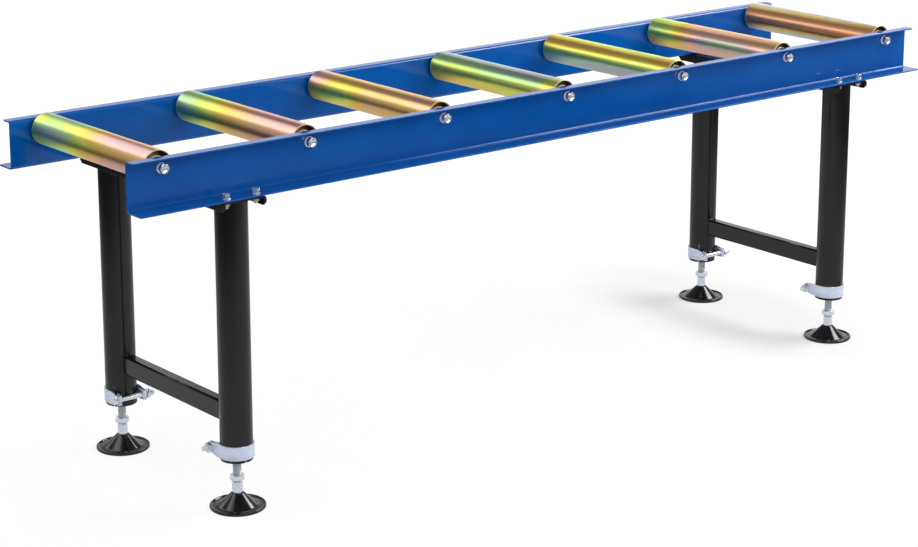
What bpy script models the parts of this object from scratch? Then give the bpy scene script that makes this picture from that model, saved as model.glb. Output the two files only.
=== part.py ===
"""A gravity roller conveyor: seven rollers between two folded rails, on four telescoping legs with levelling feet.

Metres, +Z up. The origin lies on the floor under the middle of the roller bed. +X runs along the bed and
-Y is the front, so "left" is the -X end.
"""

import math

import bmesh
import bpy
from mathutils import Matrix, Vector

# Clearances
GAP = 0.0003
SLIDE_CLEARANCE = 0.0005
HOLE_CLEARANCE = 0.0004
BURY = 0.0005

# Rollers, their end cups, bearings and axles
ROLLER_COUNT = 7
ROLLER_PITCH = 0.310
ROLLER_DIAMETER = 0.060
ROLLER_WALL = 0.0025
ROLLER_LENGTH = 0.380
ROLLER_SIDE_GAP = 0.0085
CUP_RECESS = 0.008
BEARING_DIAMETER = 0.032
BEARING_WIDTH = 0.009
AXLE_DIAMETER = 0.015
AXLE_BOLT_DIAMETER = 0.010
AXLE_BOLT_HEAD_WIDTH = 0.017
AXLE_BOLT_HEAD_HEIGHT = 0.0064
AXLE_WASHER_DIAMETER = 0.020
AXLE_WASHER_STACK = 0.0045

# Rails, folded from sheet with the flanges turned outward
RAIL_BEYOND_AXLE = 0.070
RAIL_HEIGHT = 0.091
RAIL_SHEET = 0.003
RAIL_BEND = 0.002
RAIL_TOP_FLANGE = 0.025
RAIL_BOTTOM_FLANGE = 0.0465
AXLE_BELOW_RAIL_TOP = 0.021

# Leg frames: a folded bracket under the rails, two tubes and a crossbar
LEG_FROM_RAIL_END = 0.213
LEG_INSIDE_WEB = 0.0015
LEG_DIAMETER = 0.060
LEG_WALL = 0.0025
LEG_TUBE_LENGTH = 0.487
LEG_SLITS = 3
LEG_SLIT_WIDTH = 0.0022
LEG_SLIT_HEIGHT = 0.042
BRACKET_WIDTH = 0.090
BRACKET_SHEET = 0.004
BRACKET_DEPTH = 0.019
BRACKET_SETBACK = 0.002
BRACKET_CORNER = 0.008
FRAME_BOLT_DIAMETER = 0.008
FRAME_BOLT_SPACING = 0.062
FRAME_BOLT_FROM_WEB = 0.031
FRAME_BOLT_HEAD_WIDTH = 0.013
FRAME_BOLT_HEAD_HEIGHT = 0.0053
FRAME_NUT_HEIGHT = 0.0065
FRAME_BOLT_TAIL = 0.004
CROSSBAR_HEIGHT = 0.038
CROSSBAR_WIDTH = 0.022
CROSSBAR_WALL = 0.002
CROSSBAR_CORNER = 0.004
CROSSBAR_ABOVE_TUBE_END = 0.0645

# Inner legs and the clamps that hold them
INNER_LEG_WALL = 0.0025
INNER_LEG_RECESS = 0.002
INNER_LEG_HEADROOM = 0.014
LEG_PLUG_HEIGHT = 0.016
CLAMP_SHEET = 0.0022
CLAMP_HEIGHT = 0.0255
CLAMP_ABOVE_TUBE_END = 0.006
CLAMP_EAR_CORNER = 0.006
CLAMP_BOLT_FROM_TUBE = 0.006
CLAMP_EAR_BEYOND_BOLT = 0.0075
CLAMP_BOLT_DIAMETER = 0.008
CLAMP_BOLT_HEAD_DIAMETER = 0.016
CLAMP_BOLT_HEAD_HEIGHT = 0.0045
CLAMP_NUT_WIDTH = 0.013
CLAMP_NUT_HEIGHT = 0.0065
CLAMP_BOLT_TAIL = 0.009

# Levelling feet
FOOT_DIAMETER = 0.103
FOOT_HEIGHT = 0.028
FOOT_RIM_HEIGHT = 0.0045
FOOT_BRIM_RISE = 0.0015
FOOT_CONE_BASE_DIAMETER = 0.071
FOOT_CONE_TOP_DIAMETER = 0.024
SPINDLE_DIAMETER = 0.016
SPINDLE_THREAD_LENGTH = 0.120
SPINDLE_PIN_DIAMETER = 0.012
SPINDLE_PIN_LENGTH = 0.016
SLEEVE_WIDTH = 0.017
SLEEVE_HEIGHT = 0.0235
LOCK_NUT_WIDTH = 0.024
LOCK_NUT_HEIGHT = 0.0105
EXPOSED_THREAD = 0.030

# Facets of the round pieces
ROLLER_SIDES = 20
BEARING_SIDES = 16
SMALL_SIDES = 12
LEG_SIDES = 24
FOOT_SIDES = 24
BEND_STEPS = 2
HEX = 6

# Heights that follow from the pieces stacked on the floor
SLEEVE_BOTTOM = FOOT_HEIGHT + GAP
LOCK_NUT_BOTTOM = SLEEVE_BOTTOM + SLEEVE_HEIGHT + GAP
TUBE_BOTTOM = LOCK_NUT_BOTTOM + LOCK_NUT_HEIGHT + EXPOSED_THREAD
TUBE_TOP = TUBE_BOTTOM + LEG_TUBE_LENGTH
BRACKET_TOP = TUBE_TOP + GAP + BRACKET_SHEET
RAIL_BOTTOM = BRACKET_TOP + GAP
RAIL_TOP = RAIL_BOTTOM + RAIL_HEIGHT
AXLE_Z = RAIL_TOP - AXLE_BELOW_RAIL_TOP

# Plan positions
WEB_INNER = ROLLER_LENGTH / 2 + ROLLER_SIDE_GAP
WEB_OUTER = WEB_INNER + RAIL_SHEET
ROLLER_XS = [(k - (ROLLER_COUNT - 1) / 2) * ROLLER_PITCH for k in range(ROLLER_COUNT)]
RAIL_END_X = ROLLER_XS[-1] + RAIL_BEYOND_AXLE
LEG_X = RAIL_END_X - LEG_FROM_RAIL_END
LEG_Y = WEB_INNER - LEG_INSIDE_WEB
LEG_RADIUS = LEG_DIAMETER / 2
FRAME_BOLT_Y = WEB_INNER + FRAME_BOLT_FROM_WEB
ENDS = {"left": -LEG_X, "right": LEG_X}
CORNERS = {(side, end): (x, sign * LEG_Y) for end, x in ENDS.items() for side, sign in (("front", -1), ("rear", 1))}


def circumscribed(radius, sides):
    """Corner radius of a polygon whose flats stand at the given radius, so that a bore keeps its clearance."""
    return radius / math.cos(math.pi / sides)


def arc(centre, radius, start, end, steps):
    """Points along an arc, with the angles in degrees."""
    angles = [math.radians(start + (end - start) * k / steps) for k in range(steps + 1)]
    return [(centre[0] + radius * math.cos(a), centre[1] + radius * math.sin(a)) for a in angles]


def finished_mesh(name, shape):
    """Turns a bmesh into a mesh with its faces pointing out and its round stretches shaded smooth."""
    bmesh.ops.recalc_face_normals(shape, faces=shape.faces)
    mesh = bpy.data.meshes.new(name)
    shape.to_mesh(mesh)
    shape.free()
    mesh.shade_smooth()
    mesh.set_sharp_from_angle(angle=math.radians(35))
    return mesh


def turned_mesh(name, profile, sides):
    """Solid turned about Z from (radius, height) points, or (half width, height, flats) for a hexagon.

    The profile starts and ends on the axis, or else closes on itself as a ring.
    """
    shape = bmesh.new()
    rings = []
    for radius, height, *flats in profile:
        corners = []
        for k in range(sides if radius else 1):
            angle = 2 * math.pi * k / sides
            reach = radius
            if flats:
                step = 2 * math.pi / flats[0]
                reach = radius / math.cos((angle + step / 2) % step - step / 2)
            corners.append(shape.verts.new((reach * math.cos(angle), reach * math.sin(angle), height)))
        rings.append(corners)
    pairs = list(zip(rings, rings[1:]))
    if profile[0][0]:
        pairs.append((rings[-1], rings[0]))
    for low, high in pairs:
        for k in range(sides):
            after = k + 1
            corners = [low[k % len(low)], low[after % len(low)], high[after % len(high)], high[k % len(high)]]
            shape.faces.new(list(dict.fromkeys(corners)))
    return finished_mesh(name, shape)


def extruded_shape(outline, low, high, axes):
    """Solid with an outline in the first two of the named axes, drawn along the third from low to high."""
    order = ["XYZ".index(letter) for letter in axes]
    shape = bmesh.new()
    caps = []
    for depth in (low, high):
        cap = []
        for u, v in outline:
            point = Vector()
            for index, value in zip(order, (u, v, depth)):
                point[index] = value
            cap.append(shape.verts.new(point))
        caps.append(cap)
        shape.faces.new(cap)
    for k in range(len(outline)):
        after = (k + 1) % len(outline)
        shape.faces.new((caps[0][k], caps[0][after], caps[1][after], caps[1][k]))
    return shape


def pins_mesh(name, pins, sides):
    """Separate round pins in one mesh, each given as (centre, axis, radius, length)."""
    shape = bmesh.new()
    for centre, axis, radius, length in pins:
        turn = Vector((0, 0, 1)).rotation_difference(Vector(axis)).to_matrix().to_4x4()
        bmesh.ops.create_cone(shape, cap_ends=True, segments=sides, radius1=radius, radius2=radius,
                              depth=length, matrix=Matrix.Translation(centre) @ turn)
    return finished_mesh(name, shape)


def finish(name, colour, roughness, metallic):
    """Plain material with the piece's colour and gloss."""
    material = bpy.data.materials.new(name)
    material.use_nodes = True
    shader = material.node_tree.nodes["Principled BSDF"]
    shader.inputs["Base Color"].default_value = (*colour, 1.0)
    shader.inputs["Roughness"].default_value = roughness
    shader.inputs["Metallic"].default_value = metallic
    return material


def place(name, mesh, material=None, location=(0, 0, 0), turn=(0, 0, 0), parent=None):
    """Puts a mesh into the scene as a named piece, or an empty where there is no mesh."""
    piece = bpy.data.objects.new(name, mesh)
    piece.location = location
    piece.rotation_euler = turn
    piece.parent = parent
    if material and not mesh.materials:
        mesh.materials.append(material)
    bpy.context.scene.collection.objects.link(piece)
    return piece


def combine(piece, tool, operation):
    """Joins a shape to a piece or cuts it out of the piece, and hides the shape itself."""
    tool.hide_render = True
    tool.display_type = "WIRE"
    change = piece.modifiers.new(operation.lower(), "BOOLEAN")
    change.operation = operation
    change.solver = "EXACT"
    change.object = tool


def bevel_edges(shape, chosen, radius, steps):
    """Rounds the edges for which chosen(first corner, second corner) is true."""
    edges = [e for e in shape.edges if chosen(e.verts[0].co, e.verts[1].co)]
    bmesh.ops.bevel(shape, geom=edges, offset=radius, segments=steps, profile=0.5, affect="EDGES")


for leftover in list(bpy.data.objects):
    bpy.data.objects.remove(leftover, do_unlink=True)

blue_paint = finish("blue_paint", (0.012, 0.085, 0.32), 0.32, 0.0)
black_paint = finish("black_paint", (0.012, 0.012, 0.013), 0.28, 0.0)
yellow_zinc = finish("yellow_zinc", (0.62, 0.50, 0.26), 0.30, 1.0)
bright_zinc = finish("bright_zinc", (0.66, 0.70, 0.76), 0.28, 1.0)
bearing_steel = finish("bearing_steel", (0.42, 0.42, 0.43), 0.30, 1.0)
black_foot = finish("black_foot", (0.010, 0.010, 0.010), 0.20, 0.0)

ALONG_Y = (math.pi / 2, 0, 0)
ALONG_X = (0, math.pi / 2, 0)
HALF_TURN = (0, 0, math.pi)


# Rollers: a tube with a thick cup pressed into each end, on two bearings
roller_radius = ROLLER_DIAMETER / 2
cup_bore = circumscribed(BEARING_DIAMETER / 2 + GAP, ROLLER_SIDES)
cup_face = ROLLER_LENGTH / 2 - CUP_RECESS
cup_back = cup_face - BEARING_WIDTH
inner_radius = roller_radius - ROLLER_WALL
roller_end = [
    (inner_radius, cup_back),
    (cup_bore, cup_back),
    (cup_bore, cup_face),
    (inner_radius, cup_face),
    (inner_radius, ROLLER_LENGTH / 2),
    (roller_radius, ROLLER_LENGTH / 2),
]
roller_profile = roller_end + [(r, -z) for r, z in reversed(roller_end)]
bearing_bore = circumscribed(AXLE_DIAMETER / 2 + GAP, BEARING_SIDES)
bearing_profile = [
    (bearing_bore, -BEARING_WIDTH / 2),
    (BEARING_DIAMETER / 2, -BEARING_WIDTH / 2),
    (BEARING_DIAMETER / 2, BEARING_WIDTH / 2),
    (bearing_bore, BEARING_WIDTH / 2),
]

# Axle: a rod between the webs, with a washer stack and a hexagon bolt outside each web
axle_end = WEB_INNER - GAP
washer_face = WEB_OUTER + GAP
head_face = washer_face + AXLE_WASHER_STACK
axle_half = [
    (AXLE_DIAMETER / 2, axle_end),
    (AXLE_BOLT_DIAMETER / 2, axle_end),
    (AXLE_BOLT_DIAMETER / 2, washer_face),
    (AXLE_WASHER_DIAMETER / 2, washer_face),
    (AXLE_WASHER_DIAMETER / 2, head_face),
    (AXLE_BOLT_HEAD_WIDTH / 2, head_face, HEX),
    (AXLE_BOLT_HEAD_WIDTH / 2, head_face + AXLE_BOLT_HEAD_HEIGHT, HEX),
    (0, head_face + AXLE_BOLT_HEAD_HEIGHT),
]
axle_profile = [(r, -z, *flats) for r, z, *flats in reversed(axle_half)] + axle_half

roller_mesh = turned_mesh("roller_tube", roller_profile, ROLLER_SIDES)
bearing_mesh = turned_mesh("roller_bearing", bearing_profile, BEARING_SIDES)
axle_mesh = turned_mesh("roller_axle", axle_profile, SMALL_SIDES)
bearing_y = (cup_face + cup_back) / 2
for number, x in enumerate(ROLLER_XS, start=1):
    axis = place(f"axis_of_roller_{number}", None, location=(x, 0, AXLE_Z))
    place(f"roller_tube_{number}", roller_mesh, yellow_zinc, turn=ALONG_Y, parent=axis)
    place(f"roller_bearing_front_{number}", bearing_mesh, bearing_steel, (0, -bearing_y, 0), ALONG_Y, axis)
    place(f"roller_bearing_rear_{number}", bearing_mesh, bearing_steel, (0, bearing_y, 0), ALONG_Y, axis)
    place(f"roller_axle_{number}", axle_mesh, bright_zinc, (x, 0, AXLE_Z), ALONG_Y)


# Rails: one folded channel, used twice, the front one turned half round
bend_outer = RAIL_BEND + RAIL_SHEET
low_bend = (WEB_INNER + bend_outer, bend_outer)
high_bend = (WEB_INNER + bend_outer, RAIL_HEIGHT - bend_outer)
top_tip = WEB_INNER + RAIL_TOP_FLANGE
bottom_tip = WEB_INNER + RAIL_BOTTOM_FLANGE
rail_outline = (
    [(top_tip, RAIL_HEIGHT)]
    + arc(high_bend, bend_outer, 90, 180, BEND_STEPS)
    + arc(low_bend, bend_outer, 180, 270, BEND_STEPS)
    + [(bottom_tip, 0), (bottom_tip, RAIL_SHEET)]
    + arc(low_bend, RAIL_BEND, 270, 180, BEND_STEPS)
    + arc(high_bend, RAIL_BEND, 180, 90, BEND_STEPS)
    + [(top_tip, RAIL_HEIGHT - RAIL_SHEET)]
)
axle_hole = circumscribed(AXLE_BOLT_DIAMETER / 2 + HOLE_CLEARANCE, SMALL_SIDES)
frame_hole = circumscribed(FRAME_BOLT_DIAMETER / 2 + HOLE_CLEARANCE, SMALL_SIDES)
hole_length = 4 * RAIL_SHEET
web_middle = (WEB_INNER + WEB_OUTER) / 2
rail_holes = [((x, web_middle, AXLE_Z - RAIL_BOTTOM), (0, 1, 0), axle_hole, hole_length) for x in ROLLER_XS]
frame_bolt_xs = [x + side * FRAME_BOLT_SPACING / 2 for x in (-LEG_X, 0, LEG_X) for side in (-1, 1)]
rail_holes += [((x, FRAME_BOLT_Y, RAIL_SHEET / 2), (0, 0, 1), frame_hole, hole_length) for x in frame_bolt_xs]
for name, turn in (("rail_front", HALF_TURN), ("rail_rear", (0, 0, 0))):
    rail_mesh = finished_mesh(name, extruded_shape(rail_outline, -RAIL_END_X, RAIL_END_X, "YZX"))
    rail = place(name, rail_mesh, blue_paint, (0, 0, RAIL_BOTTOM), turn)
    holes = place(name + "_holes", pins_mesh(name + "_holes", rail_holes, SMALL_SIDES), None, (0, 0, RAIL_BOTTOM), turn)
    combine(rail, holes, "DIFFERENCE")


# Brackets: a channel open downward under both rails, with its four bolts and nuts joined to it
bracket_half = BRACKET_WIDTH / 2
bracket_reach = bottom_tip - BRACKET_SETBACK
bracket_inner = bracket_half - BRACKET_SHEET
bracket_outline = [
    (-bracket_half, -BRACKET_DEPTH),
    (-bracket_inner, -BRACKET_DEPTH),
    (-bracket_inner, -BRACKET_SHEET),
    (bracket_inner, -BRACKET_SHEET),
    (bracket_inner, -BRACKET_DEPTH),
    (bracket_half, -BRACKET_DEPTH),
    (bracket_half, 0),
    (-bracket_half, 0),
]
bolt_head_bottom = GAP + RAIL_SHEET + GAP
nut_bottom = -BRACKET_SHEET - FRAME_NUT_HEIGHT
frame_bolt_profile = [
    (0, nut_bottom - FRAME_BOLT_TAIL),
    (FRAME_BOLT_DIAMETER / 2, nut_bottom - FRAME_BOLT_TAIL),
    (FRAME_BOLT_DIAMETER / 2, nut_bottom),
    (FRAME_BOLT_HEAD_WIDTH / 2, nut_bottom, HEX),
    (FRAME_BOLT_HEAD_WIDTH / 2, BURY - BRACKET_SHEET, HEX),
    (FRAME_BOLT_DIAMETER / 2, BURY - BRACKET_SHEET),
    (FRAME_BOLT_DIAMETER / 2, bolt_head_bottom),
    (FRAME_BOLT_HEAD_WIDTH / 2, bolt_head_bottom, HEX),
    (FRAME_BOLT_HEAD_WIDTH / 2, bolt_head_bottom + FRAME_BOLT_HEAD_HEIGHT, HEX),
    (0, bolt_head_bottom + FRAME_BOLT_HEAD_HEIGHT),
]
frame_bolt_mesh = turned_mesh("frame_bolt", frame_bolt_profile, SMALL_SIDES)


def is_flange_corner(a, b):
    """The edges across a bracket flange at its two lower ends."""
    at_bottom = max(a.z, b.z) < -BRACKET_DEPTH + GAP
    at_end = min(abs(a.y), abs(b.y)) > bracket_reach - GAP
    return at_bottom and at_end and a.y * b.y > 0


for end, x in ENDS.items():
    shape = extruded_shape(bracket_outline, -bracket_reach, bracket_reach, "XZY")
    bevel_edges(shape, is_flange_corner, BRACKET_CORNER, 2 * BEND_STEPS)
    name = "leg_bracket_" + end
    bracket = place(name, finished_mesh(name, shape), black_paint, (x, 0, BRACKET_TOP))
    for bolt_x in (-FRAME_BOLT_SPACING / 2, FRAME_BOLT_SPACING / 2):
        for bolt_y in (-FRAME_BOLT_Y, FRAME_BOLT_Y):
            bolt = place(name + "_bolt", frame_bolt_mesh, None, (x + bolt_x, bolt_y, BRACKET_TOP))
            combine(bracket, bolt, "UNION")


# Crossbars: a rectangular tube between the legs, coped to fit round both
def rounded_rectangle(width, height, corner):
    """Outline of a rectangle with round corners, centred on the origin."""
    across = width / 2 - corner
    up = height / 2 - corner
    corners = ((across, up, 0), (-across, up, 90), (-across, -up, 180), (across, -up, 270))
    return [point for u, v, start in corners for point in arc((u, v), corner, start, start + 90, BEND_STEPS)]


cope_radius = circumscribed(LEG_RADIUS + GAP, LEG_SIDES)
crossbar_z = TUBE_BOTTOM + CROSSBAR_ABOVE_TUBE_END + CROSSBAR_HEIGHT / 2
crossbar_outline = rounded_rectangle(CROSSBAR_WIDTH, CROSSBAR_HEIGHT, CROSSBAR_CORNER)
hollow_outline = rounded_rectangle(
    CROSSBAR_WIDTH - 2 * CROSSBAR_WALL, CROSSBAR_HEIGHT - 2 * CROSSBAR_WALL, CROSSBAR_CORNER - CROSSBAR_WALL)
for end, x in ENDS.items():
    name = "leg_crossbar_" + end
    solid = finished_mesh(name, extruded_shape(crossbar_outline, -LEG_Y, LEG_Y, "XZY"))
    hollow = finished_mesh(name + "_hollow", extruded_shape(hollow_outline, -2 * LEG_Y, 2 * LEG_Y, "XZY"))
    copes = [((0, side * LEG_Y, 0), (0, 0, 1), cope_radius, 2 * CROSSBAR_HEIGHT) for side in (-1, 1)]
    crossbar = place(name, solid, black_paint, (x, 0, crossbar_z))
    combine(crossbar, place(name + "_hollow", hollow, None, (x, 0, crossbar_z)), "DIFFERENCE")
    ends = pins_mesh(name + "_copes", copes, LEG_SIDES)
    combine(crossbar, place(name + "_copes", ends, None, (x, 0, crossbar_z)), "DIFFERENCE")


# Outer leg tubes, slit at the lower end so that the clamp can squeeze them
leg_bore = LEG_RADIUS - LEG_WALL
bore_corner = circumscribed(leg_bore, LEG_SIDES)
tube_profile = [(bore_corner, 0), (LEG_RADIUS, 0), (LEG_RADIUS, LEG_TUBE_LENGTH), (bore_corner, LEG_TUBE_LENGTH)]


def slits_mesh(name):
    """Flat blades that cut the slits, the first one facing out from the frame."""
    shape = bmesh.new()
    blade = Matrix.Diagonal((LEG_SLIT_WIDTH, LEG_RADIUS, 2 * LEG_SLIT_HEIGHT, 1))
    for k in range(LEG_SLITS):
        turn = Matrix.Rotation(2 * math.pi * k / LEG_SLITS, 4, "Z")
        bmesh.ops.create_cube(shape, size=1, matrix=turn @ Matrix.Translation((0, -LEG_RADIUS, 0)) @ blade)
    return finished_mesh(name, shape)


# Inner legs: a tube that slides in the outer one, closed below by the plug that carries the spindle
inner_leg_radius = leg_bore - SLIDE_CLEARANCE
inner_leg_length = LEG_TUBE_LENGTH - INNER_LEG_RECESS - INNER_LEG_HEADROOM
thread_bore = circumscribed(SPINDLE_DIAMETER / 2 + GAP, LEG_SIDES)
inner_leg_profile = [
    (thread_bore, 0),
    (inner_leg_radius, 0),
    (inner_leg_radius, inner_leg_length),
    (inner_leg_radius - INNER_LEG_WALL, inner_leg_length),
    (inner_leg_radius - INNER_LEG_WALL, LEG_PLUG_HEIGHT),
    (thread_bore, LEG_PLUG_HEIGHT),
]

# Clamps: a band round the outside of the tube, its two ears drawn together by a bolt on the inner side
band_inner = LEG_RADIUS + GAP
band_outer = band_inner + CLAMP_SHEET
clamp_bolt_y = LEG_RADIUS + CLAMP_BOLT_FROM_TUBE
ear_end = clamp_bolt_y + CLAMP_EAR_BEYOND_BOLT
clamp_outline = (
    [(-band_outer, ear_end)]
    + arc((0, 0), band_outer, 180, 360, LEG_SIDES // 2)
    + [(band_outer, ear_end), (band_inner, ear_end)]
    + arc((0, 0), band_inner, 360, 180, LEG_SIDES // 2)
    + [(-band_inner, ear_end)]
)
nut_seat = band_outer - BURY
nut_end = nut_seat + CLAMP_NUT_HEIGHT
bolt_end = nut_end + CLAMP_BOLT_TAIL
dome = [
    (CLAMP_BOLT_HEAD_DIAMETER / 2 * across, nut_seat + CLAMP_BOLT_HEAD_HEIGHT * up)
    for across, up in arc((0, 0), 1, 0, 60, BEND_STEPS)
]
clamp_bolt_profile = [
    (0, -bolt_end),
    (CLAMP_BOLT_DIAMETER / 2, -bolt_end),
    (CLAMP_BOLT_DIAMETER / 2, -nut_end),
    (CLAMP_NUT_WIDTH / 2, -nut_end, HEX),
    (CLAMP_NUT_WIDTH / 2, -nut_seat, HEX),
    (CLAMP_BOLT_DIAMETER / 2, -nut_seat),
    (CLAMP_BOLT_DIAMETER / 2, nut_seat),
    *dome,
    (0, nut_seat + CLAMP_BOLT_HEAD_HEIGHT),
]


def is_ear_corner(a, b):
    """The edges across the end of a clamp ear."""
    at_end = min(a.y, b.y) > ear_end - GAP
    return at_end and abs(a.z - b.z) < GAP and a.x * b.x > 0


def clamp_mesh(name):
    """The bent band alone, with the ears' corners rounded."""
    shape = extruded_shape(clamp_outline, 0, CLAMP_HEIGHT, "XYZ")
    bevel_edges(shape, is_ear_corner, CLAMP_EAR_CORNER, BEND_STEPS)
    return finished_mesh(name, shape)


# Levelling feet: a spindle with a hexagon sleeve, a lock nut, and a round foot on the spindle's pin
sleeve_top = SLEEVE_HEIGHT
spindle_top = sleeve_top + SPINDLE_THREAD_LENGTH
spindle_profile = [
    (0, -SPINDLE_PIN_LENGTH),
    (SPINDLE_PIN_DIAMETER / 2, -SPINDLE_PIN_LENGTH),
    (SPINDLE_PIN_DIAMETER / 2, 0),
    (SLEEVE_WIDTH / 2, 0, HEX),
    (SLEEVE_WIDTH / 2, sleeve_top, HEX),
    (SPINDLE_DIAMETER / 2, sleeve_top),
    (SPINDLE_DIAMETER / 2, spindle_top),
    (0, spindle_top),
]
nut_bore = circumscribed(SPINDLE_DIAMETER / 2 + GAP, SMALL_SIDES)
lock_nut_profile = [
    (nut_bore, 0),
    (LOCK_NUT_WIDTH / 2, 0, HEX),
    (LOCK_NUT_WIDTH / 2, LOCK_NUT_HEIGHT, HEX),
    (nut_bore, LOCK_NUT_HEIGHT),
]
socket_radius = circumscribed(SPINDLE_PIN_DIAMETER / 2 + GAP, FOOT_SIDES)
socket_floor = SLEEVE_BOTTOM - SPINDLE_PIN_LENGTH - GAP
foot_profile = [
    (0, 0),
    (FOOT_DIAMETER / 2, 0),
    (FOOT_DIAMETER / 2, FOOT_RIM_HEIGHT),
    (FOOT_CONE_BASE_DIAMETER / 2, FOOT_RIM_HEIGHT + FOOT_BRIM_RISE),
    (FOOT_CONE_TOP_DIAMETER / 2, FOOT_HEIGHT),
    (socket_radius, FOOT_HEIGHT),
    (socket_radius, socket_floor),
    (0, socket_floor),
]

tube_mesh = turned_mesh("leg_tube", tube_profile, LEG_SIDES)
inner_leg_mesh = turned_mesh("inner_leg", inner_leg_profile, LEG_SIDES)
band_mesh = clamp_mesh("leg_clamp")
clamp_bolt_mesh = turned_mesh("clamp_bolt", clamp_bolt_profile, SMALL_SIDES)
spindle_mesh = turned_mesh("foot_spindle", spindle_profile, SMALL_SIDES)
lock_nut_mesh = turned_mesh("foot_lock_nut", lock_nut_profile, SMALL_SIDES)
foot_mesh = turned_mesh("foot_pad", foot_profile, FOOT_SIDES)
clamp_z = TUBE_BOTTOM + CLAMP_ABOVE_TUBE_END
for (side, end), (x, y) in CORNERS.items():
    corner = f"{side}_{end}"
    axis = place("axis_of_leg_" + corner, None, location=(x, y, 0), turn=HALF_TURN if side == "rear" else (0, 0, 0))
    tube = place("leg_tube_" + corner, tube_mesh, black_paint, (0, 0, TUBE_BOTTOM), parent=axis)
    slits = place(f"leg_tube_{corner}_slits", slits_mesh("slits"), None, (0, 0, TUBE_BOTTOM), parent=axis)
    combine(tube, slits, "DIFFERENCE")
    inner_leg_z = TUBE_BOTTOM + INNER_LEG_RECESS
    place("inner_leg_" + corner, inner_leg_mesh, bright_zinc, (0, 0, inner_leg_z), parent=axis)
    clamp = place("leg_clamp_" + corner, band_mesh, bright_zinc, (0, 0, clamp_z), parent=axis)
    bolt_place = (0, clamp_bolt_y, clamp_z + CLAMP_HEIGHT / 2)
    bolt = place(f"leg_clamp_{corner}_bolt", clamp_bolt_mesh, None, bolt_place, ALONG_X, axis)
    combine(clamp, bolt, "UNION")
    place("foot_spindle_" + corner, spindle_mesh, bright_zinc, (0, 0, SLEEVE_BOTTOM), parent=axis)
    place("foot_lock_nut_" + corner, lock_nut_mesh, bright_zinc, (0, 0, LOCK_NUT_BOTTOM), parent=axis)
    place("foot_pad_" + corner, foot_mesh, black_foot, parent=axis)
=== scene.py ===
# %% [markdown]
# # A gravity roller conveyor
# Seven plated rollers run between two blue folded rails, on black legs that telescope and end in levelling feet.
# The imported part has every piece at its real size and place, but with few faces and plain colours. This lesson
# dresses it: each step builds one kind of piece as it is made in the workshop, gives it its finish, and hangs
# it on the body that it moves with.

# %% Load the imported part
import math

import bmesh
import bpy
from mathutils import Matrix, Vector


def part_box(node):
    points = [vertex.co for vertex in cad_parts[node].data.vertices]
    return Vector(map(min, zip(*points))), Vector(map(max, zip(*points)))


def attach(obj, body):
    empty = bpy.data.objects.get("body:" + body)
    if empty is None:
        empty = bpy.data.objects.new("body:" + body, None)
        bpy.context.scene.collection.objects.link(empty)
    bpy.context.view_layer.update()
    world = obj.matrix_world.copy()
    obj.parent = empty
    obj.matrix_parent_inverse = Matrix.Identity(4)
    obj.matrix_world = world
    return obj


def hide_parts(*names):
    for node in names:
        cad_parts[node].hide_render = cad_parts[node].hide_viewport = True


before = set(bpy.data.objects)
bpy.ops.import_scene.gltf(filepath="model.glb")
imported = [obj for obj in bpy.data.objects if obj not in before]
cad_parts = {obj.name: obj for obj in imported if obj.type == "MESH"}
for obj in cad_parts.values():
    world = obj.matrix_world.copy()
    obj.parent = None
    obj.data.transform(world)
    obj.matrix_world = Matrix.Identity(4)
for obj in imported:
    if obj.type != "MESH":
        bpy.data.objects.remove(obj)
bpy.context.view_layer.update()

# %% [markdown]
# ## Sizes come from the frame
# A dressed piece has to sit exactly where its solid sits. So nothing is measured twice: the places below are
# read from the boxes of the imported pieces, and only what a box can't tell, such as a sheet's thickness, is
# written here.

# %% Read the main sizes and places
MM = 0.001
SIDES = ("front", "rear")
ENDS = ("left", "right")
ROLLERS = range(1, 8)
RAIL_SHEET = 3 * MM


def middle(node):
    """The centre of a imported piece's box."""
    low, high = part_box(node)
    return (low + high) / 2


roller_low, roller_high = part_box("roller_tube_1")
ROLLER_RADIUS = (roller_high.z - roller_low.z) / 2
ROLLER_LENGTH = roller_high.y - roller_low.y
axle_places = {k: middle(f"roller_tube_{k}") for k in ROLLERS}

rail_low, rail_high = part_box("rail_rear")
WEB_INNER = rail_low.y
WEB_OUTER = WEB_INNER + RAIL_SHEET
RAIL_HEIGHT = rail_high.z - rail_low.z

tube_low, tube_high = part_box("leg_tube_front_left")
LEG_RADIUS = (tube_high.x - tube_low.x) / 2
leg_places = {f"{s}_{e}": middle(f"leg_tube_{s}_{e}") for s in SIDES for e in ENDS}
LEG_X = {e: leg_places[f"front_{e}"].x for e in ENDS}
LEG_Y = leg_places["rear_left"].y
print(f"roller {2 * ROLLER_RADIUS:.3f} x {ROLLER_LENGTH:.3f} m, rail {RAIL_HEIGHT:.3f} m high, "
      f"legs {2 * LEG_RADIUS:.3f} m across at y {LEG_Y:.4f}")

# %% [markdown]
# ## The maker's tools
# Nearly everything here is turned on a lathe, cut from a hexagon bar, folded from sheet or laid down as a bead.
# Blender could do these with Screw, Bevel and Curve modifiers on many helper objects. A few small functions that
# write the faces directly are easier to follow, and leave clean meshes behind. The first one is the lathe.

# %% The lathe
HEX_STEP = math.tau / 6


def polar(radius, angle, height):
    """A point at a radius and an angle round Z."""
    return (radius * math.cos(angle), radius * math.sin(angle), height)


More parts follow.
